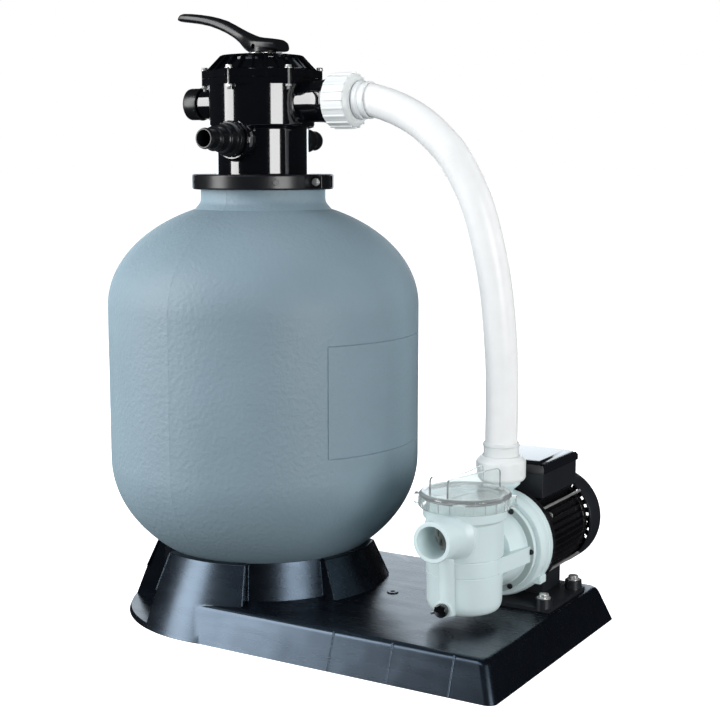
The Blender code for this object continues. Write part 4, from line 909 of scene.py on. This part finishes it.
def make_casing():
    drum = [(83.0, 72.0, 1.2), (83.0, 60.5, 0.6), (82.2, 59.5, 0.6), (82.2, 47.0, 2.0), (79.0, 36.2, 2.0),
            (73.0, 36.2), (60.0, 36.2), (60.0, 60.0), (14.5, 60.0), (14.5, 66.5), (8.5, 66.5), (8.5, 72.0)]
    casing = on_motor(drum, 144, 0.6)
    neck = [(0.0, 262.0), (29.8, 262.0, 0.8), (29.8, 240.0, 1.0), (17.5, 229.0, 4.0), (17.5, 205.0),
            (0.0, 205.0)]
    casing = unite(casing, lathe(soft(neck, 0.5), DISCHARGE, 80),
                   box((456.0, 46.0, 92.0), (472.0, 68.0, 104.0), edge=1.2),
                   box((324.0, 46.0, 92.0), (340.0, 68.0, 104.0), edge=1.2))
    casing = cut(casing, rod(11.0, 195.0, 245.0, place((400.0, 48.0, 0.0)), 48),
                 rod(20.0, 243.0, 270.0, DISCHARGE, 64))
    casing = cut(casing, rod(60.0, 35.0, 60.0, ON_MOTOR, 112))
    solid("volute", ease(casing, 0.9, 30.0, 2), "grey", "volute_casing", angle=50.0, weighted=True)


# ---- motor

FIN_COUNT, FIN_ROOT, FIN_TIP = 40, 63.5, 73.0
BOX_X, BOX_Y, BOX_Z = (346.0, 450.0), (100.0, 232.0), (211.6, 250.0)


def fin_outline():
    points = []
    for i in range(FIN_COUNT):
        middle = 360.0 * i / FIN_COUNT
        foot, end = math.degrees(1.9 / FIN_ROOT), math.degrees(1.0 / FIN_TIP)
        for radius, angle in ((FIN_ROOT, middle - foot), (FIN_TIP - 0.6, middle - end),
                              (FIN_TIP, middle - end * 0.3), (FIN_TIP, middle + end * 0.3),
                              (FIN_TIP - 0.6, middle + end), (FIN_ROOT, middle + foot)):
            points.append(polar(radius, angle))
    return points


def make_motor():
    flange = on_motor([(80.0, 90.0, 2.0), (80.0, 72.3, 1.0), (8.5, 72.3), (8.5, 76.0), (16.3, 76.0),
                       (16.3, 90.0)], 128)
    for start in (-31.0, -149.0):
        ears = ring_of_boxes(2, (74.0, -8.0, 73.0), (84.0, 8.0, 89.0), ON_MOTOR, 2.0, start=start)
        flange = unite(flange, *ears)
    solid("motor_front_shield", ease(flange, 0.7, 34.0, 2), "motor", "motor_front_flange", angle=45.0,
          weighted=True)
    frame_shape = prism(fin_outline(), 90.3, 234.0, ON_MOTOR)
    rear = [(0.0, 240.0), (69.5, 240.0, 1.5), (69.5, 228.0, 1.5), (0.0, 228.0)]
    front = [(0.0, 98.0), (68.0, 98.0, 1.5), (70.0, 90.3), (0.0, 90.3)]
    frame_shape = unite(frame_shape, on_motor(rear), on_motor(front))
    table = box((BOX_X[0] - 2.0, BOX_Y[0] - 2.0, BOX_Z[0] - GAP), (BOX_X[1] + 2.0, BOX_Y[1] + 2.0, 260.0))
    frame_shape = cut(frame_shape, rod(58.0, 80.0, 225.0, ON_MOTOR, 96),
                      rod(16.3, 215.0, 236.0, ON_MOTOR, 48), rod(8.5, 200.0, 245.0, ON_MOTOR, 48), table)
    solid("motor_housing", frame_shape, "motor", "motor_frame", angle=35.0)
    for i, (rod_turn, bolt_turn) in enumerate(((42.0, 31.5), (138.0, 148.5), (222.0, 211.5), (318.0, 328.5))):
        far = ON_MOTOR @ turned(-rod_turn) @ place((77.4, 0.0, 0.0))
        near = ON_MOTOR @ turned(-bolt_turn) @ place((78.6, 0.0, 0.0))
        tie = merge(rod(2.2, 89.0, 236.0, far, 20, edge=0.4), hex_head(near, 4.8, 92.2, 96.8),
                    lathe(soft([(0.0, 92.2), (5.8, 92.2, 0.3), (5.8, 90.4), (0.0, 90.4)], 0.3), near, 32))
        solid(f"tie_rod_{i + 1}", tie, "steel", angle=30.0)
    cover = [(0.0, 290.0), (66.0, 290.0, 4.0), (76.0, 284.0, 6.0), (79.0, 274.0, 4.0), (79.0, 234.5, 0.8),
             (75.4, 234.5), (75.4, 274.0), (74.0, 282.0), (65.0, 287.8), (0.0, 287.8)]
    hood = on_motor(cover, 144, 0.6)
    openings = []
    for reach, count in ((16.0, 8), (27.0, 12), (38.0, 18), (49.0, 22), (60.0, 28)):
        openings += ring_of_boxes(count, (reach - 3.6, -2.6, 280.0), (reach + 3.6, 2.6, 300.0), ON_MOTOR)
    hood = cut(hood, merge(*openings))
    solid("fan_hood", ease(hood, 0.4, 40.0, 1), "motor_plastic", "fan_cover", angle=45.0)


def make_terminal_box():
    (x0, x1), (y0, y1), (z0, z1) = BOX_X, BOX_Y, BOX_Z
    shell = box((x0, y0, z0), (x1, y1, z1))
    shell = cut(shell, box((x0 + 2.5, y0 + 2.5, z0 + 2.5), (x1 - 2.5, y1 - 2.5, z1 + 5.0)),
                rod(6.3, -10.0, 10.0, place((x0, 196.0, 231.0), "+X"), 32))
    solid("terminal_housing", ease(shell, 1.2, 34.0, 3), "motor_plastic", "terminal_box", angle=45.0,
          weighted=True)
    lid_low, lid_high = z1 + GAP, 268.0
    outline = [(x0 - 2.0, y0 - 2.0), (x1 + 2.0, y0 - 2.0), (x1 + 2.0, y1 + 2.0), (x0 - 2.0, y1 + 2.0)]
    rings = []
    for z, inset in ((lid_low, 0.0), (259.0, 0.0), (263.5, 3.5), (266.6, 12.0), (lid_high, 16.0)):
        rings.append([(x + (inset if x < x1 else -inset), y + (inset if y < y1 else -inset), z)
                      for x, y in outline])
    lid = loft(rings)
    corners = [(x, y, 0.0) for x in (x0 + 4.0, x1 - 4.0) for y in (y0 + 4.0, y1 - 4.0)]
    for at in corners:
        lid = cut(unite(lid, rod(5.0, lid_low, 259.0, place(at), 32)), rod(3.4, 257.5, 275.0, place(at), 32))
    solid("terminal_cover", ease(lid, 1.0, 24.0, 3), "gloss", "terminal_lid", angle=45.0, weighted=True)
    head = [(0.0, 259.8), (3.1, 259.8, 0.8), (3.1, 257.6), (0.0, 257.6)]
    screws = [cut(lathe(soft(head, 0.4), where, 32), box((-4.0, -0.5, 259.1), (4.0, 0.5, 262.0), where))
              for where in (place(at, spin=30.0) for at in corners)]
    solid("terminal_screws", merge(*screws), "steel", angle=35.0)
    gland = [(4.0, 18.0), (7.0, 18.0, 1.5), (9.0, 13.0, 1.0), (9.0, GAP, 0.5), (6.0, GAP), (6.0, -6.0),
             (4.0, -6.0)]
    solid("gland", lathe(soft(gland, 0.4), place((x0, 196.0, 231.0), "-X"), 48), "motor_plastic",
          "cable_gland")


def make_foot():
    saddle = cut(box((342.0, 96.0, FOOT_TOP - 3.0), (454.0, 164.0, 108.0)),
                 rod(73.9, 80.0, 180.0, ON_MOTOR, 96), box((364.0, 108.0, 50.0), (432.0, 152.0, 120.0)))
    foot = unite(box((300.0, 26.0, DECK_Z + GAP), (496.0, 166.0, FOOT_TOP)), saddle,
                 *[rod(14.0, DECK_Z + 2.0, BOSS_TOP, at, 48, tip=13.0) for at in BOLT_LINES])
    foot = cut(foot, *[rod(4.3, 50.0, 80.0, at, 24) for at in BOLT_LINES])
    solid("motor_mount", ease(foot, 1.2, 34.0, 2), "motor_plastic", "motor_foot", angle=45.0, weighted=True)


# ---- pieces kept from the frame

KEPT = {
    "rubber": ("neck_o_ring", "lid_o_ring", "spider_gasket", "mechanical_seal"),
    "inner": ("standpipe", "underdrain", "top_diffuser", "thrust_washer", "capacitor"),
    "valve": ("valve_rotor",),
    "steel": ("rotor_spring", "motor_rotor", "front_bearing", "rear_bearing"),
    "dark_steel": ("handle_pin",),
    "winding": ("motor_stator",),
    "motor_plastic": ("impeller", "motor_fan"),
}


def finish_kept():
    for look, names in KEPT.items():
        for name in names:
            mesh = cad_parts[name].data
            mesh.materials.clear()
            mesh.materials.append(LOOKS[look])


for make in (make_camera, make_studio, make_base, make_tank, make_clamp, make_valve_body, make_valve_lid,
             make_lever, make_valve_fittings, make_hose, make_unions, make_pot, make_lid, make_basket,
             make_casing, make_motor, make_terminal_box, make_foot, finish_kept):
    make()
